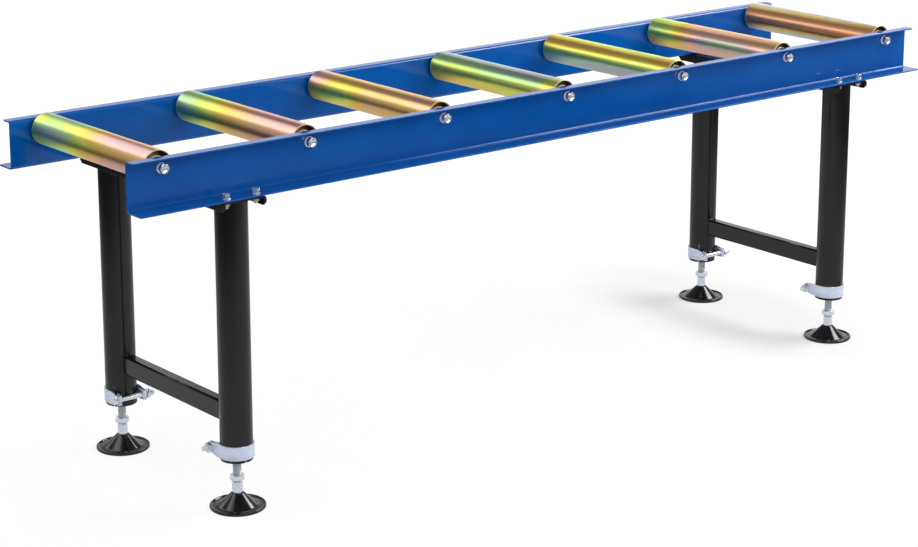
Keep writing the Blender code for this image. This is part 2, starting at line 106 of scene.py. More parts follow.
def turned(profile, sides):
    """Turns (radius, height) points about Z.

    A third value is the half width of a hexagon bar: the ring is then the bar cut back to that radius, which is
    just how the round chamfer on a nut comes about. A profile that starts on the axis is closed at both ends,
    and any other one closes on itself as a ring.
    """
    shape = bmesh.new()
    rings = []
    for radius, height, *bar in profile:
        ring = []
        for k in range(sides if radius else 1):
            angle = math.tau * k / sides
            reach = radius
            if bar:
                reach = min(radius, bar[0] / math.cos((angle + HEX_STEP / 2) % HEX_STEP - HEX_STEP / 2))
            ring.append(shape.verts.new(polar(reach, angle, height)))
        rings.append(ring)
    pairs = list(zip(rings, rings[1:]))
    if profile[0][0]:
        pairs.append((rings[-1], rings[0]))
    for low, high in pairs:
        for k in range(sides):
            corners = [ring[j % len(ring)] for ring, j in ((low, k), (low, k + 1), (high, k + 1), (high, k))]
            shape.faces.new(list(dict.fromkeys(corners)))
    return shape


def arc(centre, radius, start, end, steps=6):
    """Points along an arc, with the angles in degrees."""
    angles = [math.radians(start + (end - start) * k / steps) for k in range(steps + 1)]
    return [(centre[0] + radius * math.cos(a), centre[1] + radius * math.sin(a)) for a in angles]


print("lathe ready: a hexagon has a corner every", round(math.degrees(HEX_STEP)), "degrees")

# %% [markdown]
# The second tool joins equal rings of points, one after another. Folded sheet is its simplest case: an outline
# at one end of the sheet, and the same outline at the other. Spring washers, threads and welds come from it too.

# %% The sweep
def swept(sections, closed):
    """Joins equal rings of points, one after another, into a tube that is closed on itself or capped."""
    shape = bmesh.new()
    rings = [[shape.verts.new(point) for point in ring] for ring in sections]
    pairs = list(zip(rings, rings[1:]))
    if closed:
        pairs.append((rings[-1], rings[0]))
    else:
        shape.faces.new(rings[0])
        shape.faces.new(rings[-1])
    count = len(rings[0])
    for low, high in pairs:
        for k in range(count):
            shape.faces.new((low[k], low[(k + 1) % count], high[(k + 1) % count], high[k]))
    return shape


def drawn(outline, low, high, axes):
    """Draws an outline in the first two named axes along the third, from low to high."""
    order = [axes.index(letter) for letter in "XYZ"]
    caps = [[[(*pair, depth)[index] for index in order] for pair in outline] for depth in (low, high)]
    return swept(caps, closed=False)


print("sweep ready, for folded sheet and for paths")

# %% [markdown]
# Every shape becomes a mesh once, with its finish, and is then hung as often as the object has that piece.
# Hanging says three things: where the piece sits, which body it moves with, and which plain solid it stands for.

# %% Making meshes and hanging pieces
SHARP = 24


def smoothed(mesh, sharp=SHARP):
    """The mesh with its round stretches shaded smooth, up to an angle in degrees."""
    mesh.shade_smooth()
    mesh.set_sharp_from_angle(angle=math.radians(sharp))
    return mesh


def mesh_of(name, finish, *shapes, sharp=SHARP):
    """One mesh in one finish from one or more bmesh shapes."""
    whole = bmesh.new()
    for shape in shapes:
        part = bpy.data.meshes.new(name)
        bmesh.ops.recalc_face_normals(shape, faces=shape.faces)
        shape.to_mesh(part)
        shape.free()
        whole.from_mesh(part)
        bpy.data.meshes.remove(part)
    mesh = bpy.data.meshes.new(name)
    whole.to_mesh(mesh)
    whole.free()
    mesh.materials.append(finish)
    return smoothed(mesh, sharp)


def placed(name, data):
    """A new object in the scene."""
    thing = bpy.data.objects.new(name, data)
    bpy.context.scene.collection.objects.link(thing)
    return thing


def hang(name, mesh, body, place, stands_for=()):
    """Puts a mesh into the scene as a piece that moves with a body."""
    piece = placed(name, mesh)
    piece.matrix_world = place
    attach(piece, body)
    if stands_for:
        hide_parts(*stands_for)


def at(x, y, z):
    """A place without a turn."""
    return Matrix.Translation((x, y, z))


def about_z(degrees):
    """A turn about the vertical."""
    return Matrix.Rotation(math.radians(degrees), 4, "Z")


# %% [markdown]
# ## Finishes
# A finish is a small network of nodes. Each one starts from the piece's own coordinates, so the grain stays on
# the piece when it moves. One helper adds a node and feeds it, which keeps the networks readable as plain lines.

# %% Node helpers
NOISE_LOW, NOISE_HIGH = 0.3, 0.7


def add(tree, kind, inputs=None, **settings):
    """Adds a shader node, sets its options, and feeds its inputs from numbers, colours or other outputs."""
    made = tree.nodes.new("ShaderNode" + kind)
    for option, value in settings.items():
        setattr(made, option, value)
    for socket, value in (inputs or {}).items():
        if isinstance(value, bpy.types.NodeSocket):
            tree.links.new(value, made.inputs[socket])
        else:
            made.inputs[socket].default_value = value
    return made


def blank_finish(name, **sockets):
    """A new material with its network, its shader, whose plain values are set here, and the piece's own place."""
    finish = bpy.data.materials.new(name)
    finish.use_nodes = True
    shader = finish.node_tree.nodes["Principled BSDF"]
    for socket, value in sockets.items():
        shader.inputs[socket.replace("_", " ")].default_value = value
    return finish, finish.node_tree, shader, add(finish.node_tree, "TexCoord").outputs["Object"]


def grain(tree, place, scale, detail=2.0, stretch=(1, 1, 1)):
    """Noise from 0 to 1 with the given number of waves to the metre."""
    if stretch != (1, 1, 1):
        place = add(tree, "Mapping", {"Vector": place, "Scale": stretch}).outputs[0]
    return add(tree, "TexNoise", {"Vector": place, "Scale": scale, "Detail": detail}).outputs["Fac"]


def ranged(tree, value, start, end, low, high, curve="LINEAR"):
    """A number that runs from low to high as the value runs from start to end, and no further."""
    span = {"Value": value, "From Min": start, "From Max": end, "To Min": low, "To Max": high}
    return add(tree, "MapRange", span, interpolation_type=curve).outputs[0]


def between(tree, share, low, high):
    """A number that runs from low to high over the middle of a noise's range."""
    return ranged(tree, share, NOISE_LOW, NOISE_HIGH, low, high)


def blended(tree, share, first, second):
    """A colour between two colours or outputs."""
    return add(tree, "Mix", {"Factor": share, 6: first, 7: second}, data_type="RGBA").outputs[2]


def wear(tree, shader, colour, roughness, height, strength, depth):
    """Connects colour, roughness and a bump to the shader."""
    bump = add(tree, "Bump", {"Height": height, "Strength": strength, "Distance": depth}).outputs[0]
    for output, socket in ((colour, "Base Color"), (roughness, "Roughness"), (bump, "Normal")):
        tree.links.new(output, shader.inputs[socket])


print("finish helpers ready")

# %% [markdown]
# ### Powder coat
# The rails and legs are sprayed with dry paint that melts in an oven. It flows into a faint orange peel, about
# a millimetre from crest to crest, over a slow drift in thickness that makes the colour a shade deeper in places.
# A single flat colour would read as plastic. Two noises of very different size make it read as coated steel.

# %% Blue and black powder coat
def powder_coat(name, thin, thick, roughness, specular):
    """Powder coat that runs from its thinner to its thicker shade, with orange peel on top."""
    finish, tree, shader, place = blank_finish(name, Specular_IOR_Level=specular)
    drift = grain(tree, place, 9, detail=3)
    peel = grain(tree, place, 620, detail=1)
    dust = grain(tree, place, 2400)
    shade = blended(tree, between(tree, drift, 0, 1), (*thin, 1), (*thick, 1))
    gloss = between(tree, dust, roughness - 0.03, roughness + 0.04)
    wear(tree, shader, shade, gloss, peel, strength=0.12, depth=0.1 * MM)
    return finish


blue_coat = powder_coat("blue_powder_coat", (0.0006, 0.081, 0.338), (0.0002, 0.067, 0.293), 0.06, 0.50)
black_coat = powder_coat("black_powder_coat", (0.0065, 0.0065, 0.007), (0.004, 0.004, 0.0045), 0.14, 0.46)
print("powder coats:", blue_coat.name, black_coat.name)

# %% [markdown]
# ### Yellow zinc
# The rollers are zinc plated and dipped in chromate. The film is thinner than a wavelength of light, so its
# thickness shows as colour. As it grows, the metal goes from clear through straw, copper, pink and slate to
# green, lime and gold, and then to peach and pink once more. A painted picture of the streaks would do for one
# view. Here the film is reckoned as one number instead, so that every roller can have its own. That takes four
# more helpers: a step of arithmetic, a soft change, the distance from a spot, and a table of colours.

# %% Helpers for the film
def reckon(tree, operation, *values):
    """One step of arithmetic."""
    return add(tree, "Math", dict(enumerate(values)), operation=operation).outputs[0]


def eased(tree, value, start, end, low, high):
    """A number that swings from low to high with a soft start and a soft end."""
    return ranged(tree, value, start, end, low, high, "SMOOTHSTEP")


def away(tree, place, centre, reach):
    """How far a place is from a centre: 1 is the edge of an oval with the given reaches."""
    scale = [1 / size for size in reach]
    shift = [-value * factor for value, factor in zip(centre, scale)]
    spot = add(tree, "Mapping", {"Vector": place, "Location": (*shift, 0), "Scale": (*scale, 0)}).outputs[0]
    return add(tree, "VectorMath", {0: spot}, operation="LENGTH").outputs["Value"]


def ramped(tree, share, stops):
    """A colour from a table of (position, colour) stops."""
    made = add(tree, "ValToRGB", {0: share})
    elements = made.color_ramp.elements
    while len(elements) < len(stops):
        elements.new(0.5)
    for element, (position, colour) in zip(elements, stops):
        element.position = position
        element.color = (*colour, 1)
    return made.outputs[0]


print("film helpers ready")

# %% [markdown]
# The network unrolls the tube into a sheet: one direction is the place along it, the other the angle round it.
# The film has a level, a drift along the tube, waves round it, a few patches and some mottling, and a colour ramp
# turns the sum into the tint of the metal. Fine drawing lines run round the tube and stretch its highlights along
# it, which the shader's anisotropy does.

# %% Chromate film
FILM_TINTS = (
    (0.00, (0.66, 0.63, 0.72)),
    (0.04, (0.72, 0.73, 0.34)),
    (0.08, (0.86, 0.50, 0.18)),
    (0.13, (0.88, 0.44, 0.24)),
    (0.21, (0.86, 0.50, 0.42)),
    (0.30, (0.66, 0.50, 0.54)),
    (0.37, (0.50, 0.52, 0.56)),
    (0.46, (0.48, 0.74, 0.48)),
    (0.54, (0.60, 0.82, 0.20)),
    (0.62, (0.84, 0.86, 0.18)),
    (0.70, (0.94, 0.66, 0.12)),
    (0.78, (0.94, 0.60, 0.26)),
    (0.88, (0.92, 0.53, 0.45)),
    (0.95, (0.70, 0.49, 0.52)),
    (1.00, (0.50, 0.60, 0.40)),
)
LENS_SIDE = 150
SPECKLE = 0.012


def yellow_zinc(name, level, drift, waves, mottle, seed, patches=(), light=1.0):
    """Chromate with a mean film level, a drift along the tube, (count, swing, crest) waves round it and patches.

    Angles are in degrees from the side that faces the lens. A patch has a place along and around the tube, a
    reach along and around it, and the amount that it adds to the film. A light below 1 darkens the tint towards
    black, which paints shade.
    """
    finish, tree, shader, place = blank_finish(name, Metallic=1.0, Anisotropic=0.85, Anisotropic_Rotation=0.25)
    tangent = add(tree, "Tangent", direction_type="RADIAL", axis="Z")
    tree.links.new(tangent.outputs[0], shader.inputs["Tangent"])
    faced = add(tree, "Mapping", {"Vector": place, "Rotation": (0, 0, -math.radians(LENS_SIDE))}).outputs[0]
    axes = add(tree, "SeparateXYZ", {0: faced}).outputs
    turn = reckon(tree, "ARCTAN2", axes[1], axes[0])
    along = reckon(tree, "DIVIDE", axes[2], ROLLER_LENGTH)
    unrolled = add(tree, "CombineXYZ", {0: along, 1: turn}).outputs[0]

    count, swing, crest = waves
    wave = reckon(tree, "COSINE", reckon(tree, "MULTIPLY_ADD", turn, count, -count * math.radians(crest)))
    film = reckon(tree, "MULTIPLY_ADD", wave, swing, level)
    film = reckon(tree, "MULTIPLY_ADD", along, drift, film)
    for at_along, at_turn, reach, width, amount in patches:
        distance = away(tree, unrolled, (at_along, math.radians(at_turn)), (reach, math.radians(width)))
        film = reckon(tree, "ADD", film, eased(tree, distance, 0, 1, amount, 0))
    shift = {"Vector": place, "Location": (seed, 2 * seed, 3 * seed), "Scale": (1, 1, 0.3)}
    clouds = grain(tree, add(tree, "Mapping", shift).outputs[0], 24)
    film = reckon(tree, "ADD", film, between(tree, clouds, -mottle, mottle))
    film = reckon(tree, "ADD", film, between(tree, grain(tree, place, 700), -SPECKLE, SPECKLE))
    # Painted shade: a light below 1 darkens the film's tint towards black
    tint = blended(tree, light, (0, 0, 0, 1), ramped(tree, film, FILM_TINTS))
    lines = grain(tree, place, 900, stretch=(0.02, 0.02, 2))
    wear(tree, shader, tint, between(tree, lines, 0.36, 0.40), lines, strength=0.02, depth=0.02 * MM)
    return finish


print("chromate film with", len(FILM_TINTS), "tints")

# %% [markdown]
# Each roller hung in the bath another way, so each has its own numbers, in the order of the function: level,
# drift, waves, mottling, where the mottling starts, and patches. The end cups wear the same film, darkened
# towards black as painted shade for the inside of their recess.

# %% Seven films and the cups
FILMS = {
    1: (0.84, 0.06, (4, 0.08, -28), 0.04, 0.0, [(-0.32, 0, 0.55, 900, -0.375)]),
    2: (0.87, 0.02, (3, 0.02, -40), 0.03, 1.3, [(-0.5, 0, 0.75, 900, -0.39)]),
    3: (0.78, 0.06, (3, 0.02, -40), 0.04, 3.9,
        [(-0.22, 0, 0.34, 90, -0.12), (-0.30, 50, 0.38, 60, -0.17), (-0.5, -20, 0.26, 80, 0.22)]),
    4: (0.52, -0.04, (1, 0.16, 90), 0.04, 4.1, [(0.46, -15, 0.12, 70, 0.20)]),
    5: (0.525, -0.08, (2, 0.18, -20), 0.03, 5.7, [(0.46, -40, 0.20, 60, 0.10)]),
    6: (0.82, 0.02, (3, 0.01, -30), 0.02, 6.4,
        [(-0.50, -10, 0.48, 200, -0.32), (-0.10, 15, 0.26, 110, 0.09), (0.16, 24, 0.38, 44, 0.25),
         (-0.50, 70, 0.16, 50, 0.36)]),
    7: (0.055, 0.00, (2, 0.085, 14), 0.015, 8.8, []),
}
roller_finishes = {k: yellow_zinc(f"yellow_zinc_{k}", *film) for k, film in FILMS.items()}
# Painted shade: the cups' film is darkened to a quarter, for the shade inside their deep recess
painted_shade_cup_finish = yellow_zinc("yellow_zinc_cups_painted_shade", 0.11, 0.0, (3, 0.03, 0), 0.02, 3.3, light=0.25)
print(len(roller_finishes), "roller finishes, each with its own film")

# %% [markdown]
# ### Bright zinc, bearing steel and moulded black
# Bolts, nuts, clamps and spindles have a clear bluish zinc plating with a hint of violet and straw. They differ
# in shade and polish, so one function makes them all: bolts like mirrors, washers in pale satin, blue clamps and
# sleeves, and a pale straw, less metallic finish on the rollers' cut rims and cup lips that paints their
# highlight.
# The bearings are ground steel with dark rubber seals. The feet are moulded from glossy black plastic, so smooth
# that they mirror the studio lamps with hard edges: only a long, faint wave from the mould bends the reflections.

# %% The small finishes
VIOLET = (0.62, 0.60, 0.74, 1)
VIOLET_SHARE = 0.35
DENT_SHARE = 3.0


def bright_zinc(name, cool, warm, roughness, metallic, knocks=0.03):
    """Clear zinc with cool and warm patches, fine drawing lines and the small knocks of the plating drum."""
    finish, tree, shader, place = blank_finish(name, Metallic=metallic)
    patches = grain(tree, place, 70)
    violet = grain(tree, place, 45, detail=1)
    fine = grain(tree, place, 1500)
    tint = blended(tree, between(tree, patches, 0, 1), (*cool, 1), (*warm, 1))
    tint = blended(tree, between(tree, violet, 0, VIOLET_SHARE), tint, VIOLET)
    dents = reckon(tree, "MULTIPLY_ADD", grain(tree, place, 330, detail=1), DENT_SHARE, fine)
    gloss = between(tree, fine, roughness - 0.05, roughness + 0.06)
    wear(tree, shader, tint, gloss, dents, strength=knocks, depth=0.5 * MM)
    return finish


def moulded(name, colour, roughness, wave):
    """Moulded black with a slow wave from the mould and a fine pebble."""
    finish, tree, shader, place = blank_finish(name, Specular_IOR_Level=0.5)
    slow = grain(tree, place, 26, detail=1)
    pebble = grain(tree, place, 1800)
    shade = blended(tree, slow, (*colour, 1), (*(1.5 * value for value in colour), 1))
    gloss = between(tree, pebble, roughness, roughness + 0.05)
    wear(tree, shader, shade, gloss, slow, strength=wave, depth=1 * MM)
    return finish


fastener_zinc = bright_zinc("bright_zinc_fasteners", (0.82, 0.88, 0.95), (0.92, 0.94, 0.96), 0.12, 0.90, 0.30)
washer_zinc = bright_zinc("bright_zinc_washers", (0.86, 0.90, 0.94), (0.95, 0.96, 0.97), 0.20, 0.20)
clamp_zinc = bright_zinc("bright_zinc_clamps", (0.58, 0.69, 0.86), (0.70, 0.76, 0.88), 0.26, 0.45)
spring_steel = bright_zinc("spring_steel", (0.66, 0.70, 0.76), (0.84, 0.86, 0.88), 0.22, 0.45)
sleeve_zinc = bright_zinc("bright_zinc_sleeves", (0.74, 0.84, 0.95), (0.86, 0.91, 0.97), 0.14, 0.80)
inner_leg_zinc = bright_zinc("bright_zinc_inner_legs", (0.66, 0.72, 0.80), (0.76, 0.79, 0.82), 0.34, 0.70)
bearing_steel = bright_zinc("bearing_steel", (0.44, 0.44, 0.45), (0.54, 0.53, 0.52), 0.22, 1.0)
thread_zinc = bright_zinc("bright_zinc_threads", (0.52, 0.60, 0.59), (0.64, 0.68, 0.66), 0.26, 0.80)
# Painted highlight: a pale, less metallic straw zinc that makes the cut rims and cup lips show a bright line
painted_highlight_zinc = bright_zinc("yellow_zinc_rims_painted_highlight", (0.72, 0.59, 0.26), (0.80, 0.70, 0.40), 0.30, 0.30)
seal_rubber = moulded("bearing_seal", (0.012, 0.012, 0.014), 0.42, 0.05)
foot_black = moulded("moulded_black_foot", (0.0045, 0.0045, 0.0048), 0.06, 0.12)
print(len(bpy.data.materials), "materials so far, with", fastener_zinc.name, "and", foot_black.name)

# %% [markdown]
# ## Camera
# The photograph was taken from the left front with a long lens, a little under five metres away. Its upright
# edges stay nearly parallel, so the lens was shifted down and the camera tipped less: the shift does the same
# here.

# %% Place the camera
CAMERA_PLACE = (-3.0136, -3.5448, 1.6127)
CAMERA_HEADING = -39.31
CAMERA_TIP = -13.68
CAMERA_LENS = 92.47
CAMERA_SHIFT = (0.0012, -0.1198)

lens = bpy.data.cameras.new("camera")
lens.sensor_width = 36
lens.lens = CAMERA_LENS
lens.shift_x, lens.shift_y = CAMERA_SHIFT
lens.clip_end = 200
camera = placed("camera", lens)
camera.location = CAMERA_PLACE
camera.rotation_euler = (math.radians(90 + CAMERA_TIP), 0, math.radians(CAMERA_HEADING))
bpy.context.scene.camera = camera
print("camera", CAMERA_PLACE, "with a", CAMERA_LENS, "mm lens")

# %% [markdown]
# ## Floor, backdrop and light
# The object stands on a white sweep. If lamps alone made the floor white, they would burn out the zinc. So the
# floor is white only to the lens, and keeps a share of real shading, so that the object's soft shadow stays on
# it. One spot between the right feet keeps more of that shading than the rest and glows less, as in the photo:
# there the shadow is partly real and partly painted. Mirror-like rays see a dimmer floor that darkens with
# distance and is a little lighter again beyond: it is what the paint and the rollers reflect. All other rays see
# plain pale grey.

# %% The white floor
FLOOR_SIZE = 60
FLOOR_COLOUR = (0.88, 0.88, 0.88, 1)
NEAR, FAR = 1.2, 3.1
EDGE = 1.15 * FAR
WHITE_SHARE = 0.80
GLOW_NEAR, GLOW_FAR = 1.015, 1.20
MIRROR_NEAR, MIRROR_FAR, MIRROR_EDGE = 0.66, 0.03, 0.16
# Painted shadow: an oval spot between the right feet where the floor glows less and shows more real shading
SHADE_PLACE, SHADE_REACH, SHADE_CORE = (0.76, 0.06), (0.28, 0.62), 0.4
SHADE_SHARE, PAINTED_SHADE_GLOW = 0.50, 0.74


def mixed(tree, share, first, second):
    """A surface between two surfaces."""
    return add(tree, "MixShader", {0: share, 1: first, 2: second}).outputs[0]


def seen(tree, by_lens, by_mirrors, by_others):
    """A surface that is one thing to the lens, another to mirror-like rays and a third to all other rays."""
    rays = add(tree, "LightPath").outputs
    mirrors = reckon(tree, "MAXIMUM", rays["Is Glossy Ray"], rays["Is Transmission Ray"])
    return mixed(tree, rays["Is Camera Ray"], mixed(tree, mirrors, by_others, by_mirrors), by_lens)


def glow(tree, strength):
    """A white glow."""
    return add(tree, "Emission", {"Strength": strength}).outputs[0]


bpy.context.scene.view_settings.view_transform = "Standard"

floor_finish = bpy.data.materials.new("pale_floor")
floor_finish.use_nodes = True
tree = floor_finish.node_tree
tree.nodes.remove(tree.nodes["Principled BSDF"])
spot = add(tree, "NewGeometry").outputs["Position"]
distance = add(tree, "VectorMath", {0: spot}, operation="LENGTH").outputs["Value"]
shaded = add(tree, "BsdfDiffuse", {"Color": FLOOR_COLOUR}).outputs[0]
white = mixed(tree, WHITE_SHARE, shaded, glow(tree, eased(tree, distance, NEAR, FAR, GLOW_NEAR, GLOW_FAR)))
# Painted shadow: inside the spot the floor's glow is weaker, so its shade is partly painted and partly real
grey = mixed(tree, SHADE_SHARE, shaded, glow(tree, PAINTED_SHADE_GLOW))
shade = eased(tree, away(tree, spot, SHADE_PLACE, SHADE_REACH), SHADE_CORE, 1, 1, 0)
mirror = reckon(tree, "ADD", eased(tree, distance, NEAR, FAR, MIRROR_NEAR, MIRROR_FAR),
                eased(tree, distance, FAR, EDGE, 0, MIRROR_EDGE))
surface = seen(tree, mixed(tree, shade, white, grey), glow(tree, mirror), shaded)
tree.links.new(surface, tree.nodes["Material Output"].inputs["Surface"])

sheet = bmesh.new()
bmesh.ops.create_grid(sheet, x_segments=1, y_segments=1, size=FLOOR_SIZE / 2)
floor = placed("floor", mesh_of("floor", floor_finish, sheet))
print("floor", FLOOR_SIZE, "m square")

# %% [markdown]
# Plated metal is mostly a picture of the studio. So mirror-like rays see a sky that is mid grey near the
# horizon, darker higher up and almost black overhead, and brighter straight behind the object, which draws a thin
# light edge on round tubes. To the lens the sky is plain white, and other rays get an even, weaker light from it.

# %% The sky
WHITE = (1, 1, 1, 1)
SKY_LIGHT = 0.55
SKY_STOPS = ((0.00, 0.42), (0.25, 0.42), (0.45, 0.20), (0.70, 0.22), (1.00, 0.06))
BRIGHT_SIDE = (0.80, 0.60, 0.0)
BRIGHT_FROM, BRIGHT_TO = 0.75, 0.98
BRIGHT_GAIN = 1.6


def backdrop(tree, colour, strength):
    """A sky of one colour or ramp."""
    return add(tree, "Background", {"Color": colour, "Strength": strength}).outputs[0]


world = bpy.data.worlds.new("studio")
bpy.context.scene.world = world
world.use_nodes = True
tree = world.node_tree
tree.nodes.clear()
direction = add(tree, "TexCoord").outputs["Generated"]
height = add(tree, "SeparateXYZ", {0: direction}).outputs[2]
sky = ramped(tree, height, [(position, (level, level, level)) for position, level in SKY_STOPS])
facing = add(tree, "VectorMath", {0: direction, 1: BRIGHT_SIDE}, operation="DOT_PRODUCT").outputs["Value"]
bright = eased(tree, facing, BRIGHT_FROM, BRIGHT_TO, 1, 1 + BRIGHT_GAIN)
around = seen(tree, backdrop(tree, WHITE, 1), backdrop(tree, sky, bright), backdrop(tree, WHITE, SKY_LIGHT))
tree.links.new(around, add(tree, "OutputWorld").inputs["Surface"])
print("sky with", len(SKY_STOPS), "greys, lighting at", SKY_LIGHT)

# %% [markdown]
# Five soft lamps do the rest: a strong one from the right front, a weak one from the left, a broad one in front
# for rails and feet, a long low panel behind on the left, parallel to the rollers, and a small one behind on the
# right. The panel's edge makes the white band fade from roller to roller. Each lamp has a place, a spot that it
# points at, a size and a power, so a table and one loop are enough.

# %% The soft lamps
LAMPS = {
    "key_lamp": ((2.5, -1.1, 2.6), (0, -0.2, 0.4), (2.4, 1.2), 98),
    "fill_lamp": ((-2.6, 0.3, 2.4), (-0.3, 0, 0.4), (2.0, 2.0), 11),
    "front_lamp": ((-0.1, -3.6, 2.6), (-0.1, 0, 0.4), (2.4, 1.6), 47),
    "back_left_lamp": ((-1.18, 2.0, 1.48), (-1.05, 2.0, 0.49), (4.0, 0.97), 17.7),
    "back_right_lamp": ((1.35, 1.75, 2.55), (1.0, 0, 0.9), (1.3, 1.0), 5.2),
}
for name, (place, target, size, power) in LAMPS.items():
    lamp = bpy.data.lights.new(name, "AREA")
    lamp.shape = "RECTANGLE"
    lamp.size, lamp.size_y = size
    lamp.energy = power
    softbox = placed(name, lamp)
    softbox.location = place
    softbox.rotation_euler = (Vector(target) - Vector(place)).to_track_quat("-Z", "Y").to_euler()
    softbox.visible_camera = False
print(len(bpy.data.lights), "lamps")

# %% [markdown]
# ## Rails
# Each rail is one strip of 3 mm sheet, folded outward along both edges: a narrow flange above and a wide one
# below, which the legs bolt to. Holes could be left out of the faces by hand, but a drill is simpler: a Boolean
# modifier takes out the cutter's shape, a Bevel eases the cut edges as paint does, and only the result is kept.

# %% The drill and the file
EASE_LIMIT = 50


def cut_and_eased(mesh, cutter=None, edge=0.0):
    """The mesh with a cutter's shape taken out and its sharp edges eased by a small radius."""
    blank = placed("blank", mesh)
    if cutter:
        tool = placed("cutter", cutter)
        cut = blank.modifiers.new("cut", "BOOLEAN")
        cut.operation = "DIFFERENCE"
        cut.solver = "EXACT"
        cut.object = tool
    if edge:
        ease = blank.modifiers.new("ease", "BEVEL")
        ease.width = edge
        ease.segments = 2
        ease.limit_method = "ANGLE"
        ease.angle_limit = math.radians(EASE_LIMIT)
    view = bpy.context.evaluated_depsgraph_get()
    done = bpy.data.meshes.new_from_object(blank.evaluated_get(view))
    done.name = mesh.name
    bpy.data.objects.remove(blank)
    if cutter:
        bpy.data.objects.remove(tool)
    return smoothed(done)


def levelled(mesh):
    """Lets big flat faces keep their own direction, so that only the bends between them are shaded as round."""
    directions = [Vector() for _ in mesh.vertices]
    for face in mesh.polygons:
        for corner in face.vertices:
            directions[corner] += face.area ** 2 * face.normal
    mesh.normals_split_custom_set_from_vertices([direction.normalized() for direction in directions])
    return mesh


print("drill and file ready, for edges over", EASE_LIMIT, "degrees")

# %% [markdown]
# A box with three plates would show knife edges. So the folded outline is drawn along the rail, with true bend
# radii that catch a thin line of light. The flanges' free corners are rounded, and the spare holes for one more
# leg frame go through the lower flange.

# %% Fold and drill the rails
RAIL_BEND = 3 * MM
BEND_OUTER = RAIL_BEND + RAIL_SHEET
RAIL_EASE = 0.7 * MM
TOP_FLANGE = 25 * MM
FLANGE_CORNER = 4 * MM
SPARE_HOLE_RADIUS = 4.4 * MM
SPARE_HOLE_SPACING = 62 * MM
FRAME_BOLT_FROM_WEB = 31 * MM
RAIL_TURNS = {"front": 180, "rear": 0}

low_bend = (WEB_INNER + BEND_OUTER, BEND_OUTER)
high_bend = (WEB_INNER + BEND_OUTER, RAIL_HEIGHT - BEND_OUTER)
top_tip = WEB_INNER + TOP_FLANGE
bottom_tip = rail_high.y
folded = (
    [(top_tip, RAIL_HEIGHT)]
    + arc(high_bend, BEND_OUTER, 90, 180)
    + arc(low_bend, BEND_OUTER, 180, 270)
    + [(bottom_tip, 0), (bottom_tip, RAIL_SHEET)]
    + arc(low_bend, RAIL_BEND, 270, 180)
    + arc(high_bend, RAIL_BEND, 180, 90)
    + [(top_tip, RAIL_HEIGHT - RAIL_SHEET)]
)
rail_shape = drawn(folded, -rail_high.x, rail_high.x, "YZX")
# The short edges through the sheet at the free corners of both flanges
tips = [e for e in rail_shape.edges
        if all(v.co.y > top_tip - MM for v in e.verts) and abs(e.verts[0].co.x - e.verts[1].co.x) < MM
        and abs(e.verts[0].co.y - e.verts[1].co.y) < MM / 10]
bmesh.ops.bevel(rail_shape, geom=tips, offset=FLANGE_CORNER, segments=5, profile=0.5, affect="EDGES")

holes = bmesh.new()
for hole_x in (-SPARE_HOLE_SPACING / 2, SPARE_HOLE_SPACING / 2):
    spot = at(hole_x, WEB_INNER + FRAME_BOLT_FROM_WEB, 0)
    bmesh.ops.create_cone(holes, cap_ends=True, segments=32, radius1=SPARE_HOLE_RADIUS,
                          radius2=SPARE_HOLE_RADIUS, depth=6 * RAIL_SHEET, matrix=spot)
rail_blank = mesh_of("folded_rail", blue_coat, rail_shape)
rail_mesh = levelled(cut_and_eased(rail_blank, mesh_of("holes", blue_coat, holes), RAIL_EASE))
for side, turn in RAIL_TURNS.items():
    spot = at(0, 0, rail_low.z) @ about_z(turn)
    hang(f"folded_rail_{side}", rail_mesh, "frame", spot, [f"rail_{side}"])
print("rails:", len(rail_mesh.polygons), "faces each")

# %% [markdown]
# ## Rollers
# A roller is a length of steel tube with a pressed cup let into each end. The tube is turned from the outline of
# its wall, with round corners where the saw cut was broken. Two nested cylinders would have sharp rims, which
# never catch the light.

# %% Turn the tubes
TUBE_WALL = 2.5 * MM
RIM = 1.15 * MM
FACING = {"front": Matrix.Rotation(math.pi / 2, 4, "X"), "rear": Matrix.Rotation(-math.pi / 2, 4, "X")}

tube_inner = ROLLER_RADIUS - TUBE_WALL
half = ROLLER_LENGTH / 2


def on_axle(k, side):
    """The middle of an axle, with Z along it and out towards a side."""
    return Matrix.Translation(axle_places[k]) @ FACING[side]


def tube_rim(proud, spread):
    """The two round corners of the tube's cut end, each swept over the given angle."""
    return (arc((tube_inner + RIM, half - RIM), RIM + proud, 90 + spread, 90, 3)
            + arc((ROLLER_RADIUS - RIM, half - RIM), RIM + proud, 90, 90 - spread, 3))


tube_end = tube_rim(0, 90)
tube_profile = tube_end + [(r, -z) for r, z in reversed(tube_end)]
for k in ROLLERS:
    tube_mesh = mesh_of(f"roller_{k}", roller_finishes[k], turned(tube_profile, 128))
    spot = on_axle(k, "front")
    hang(f"plated_roller_{k}", tube_mesh, f"roller_{k}", spot, [f"roller_tube_{k}"])
print("roller tubes:", len(ROLLERS), "of", len(tube_mesh.polygons), "faces")

# %% [markdown]
# From outside one sees the cut rim of the tube, a dark recess, and the bright rolled lip that holds the bearing.
# A plain disc would look like a lid. So the cup is turned from its profile, with the small radii that the press
# leaves, and wears a finish darkened as painted shade for its recess. Rim and lip have a lighter, less metallic
# finish that paints their bright line as a highlight, so each is a ring of its own, the rim a few hundredths of
# a millimetre proud of the tube.

# %% Press the end cups
RIM_PROUD = 0.06 * MM
CUP_DEPTH = 8 * MM
CUP_BEND = 2 * MM
CUP_EDGE = 0.8 * MM
CUP_RISE = 2.5 * MM
CUP_SKIRT = 3 * MM
CUP_PLAY = 0.05 * MM
LIP_TOP = 4.6 * MM
LIP_ROOT = 6 * MM
LIP_OUTER = 18.8 * MM
LIP_ROUND = 1.35 * MM
SEAT_STEP = 2.5 * MM
SEAT_WALL = 1.5 * MM
BEARING_RADIUS = 16 * MM
BEARING_WIDTH = 9 * MM

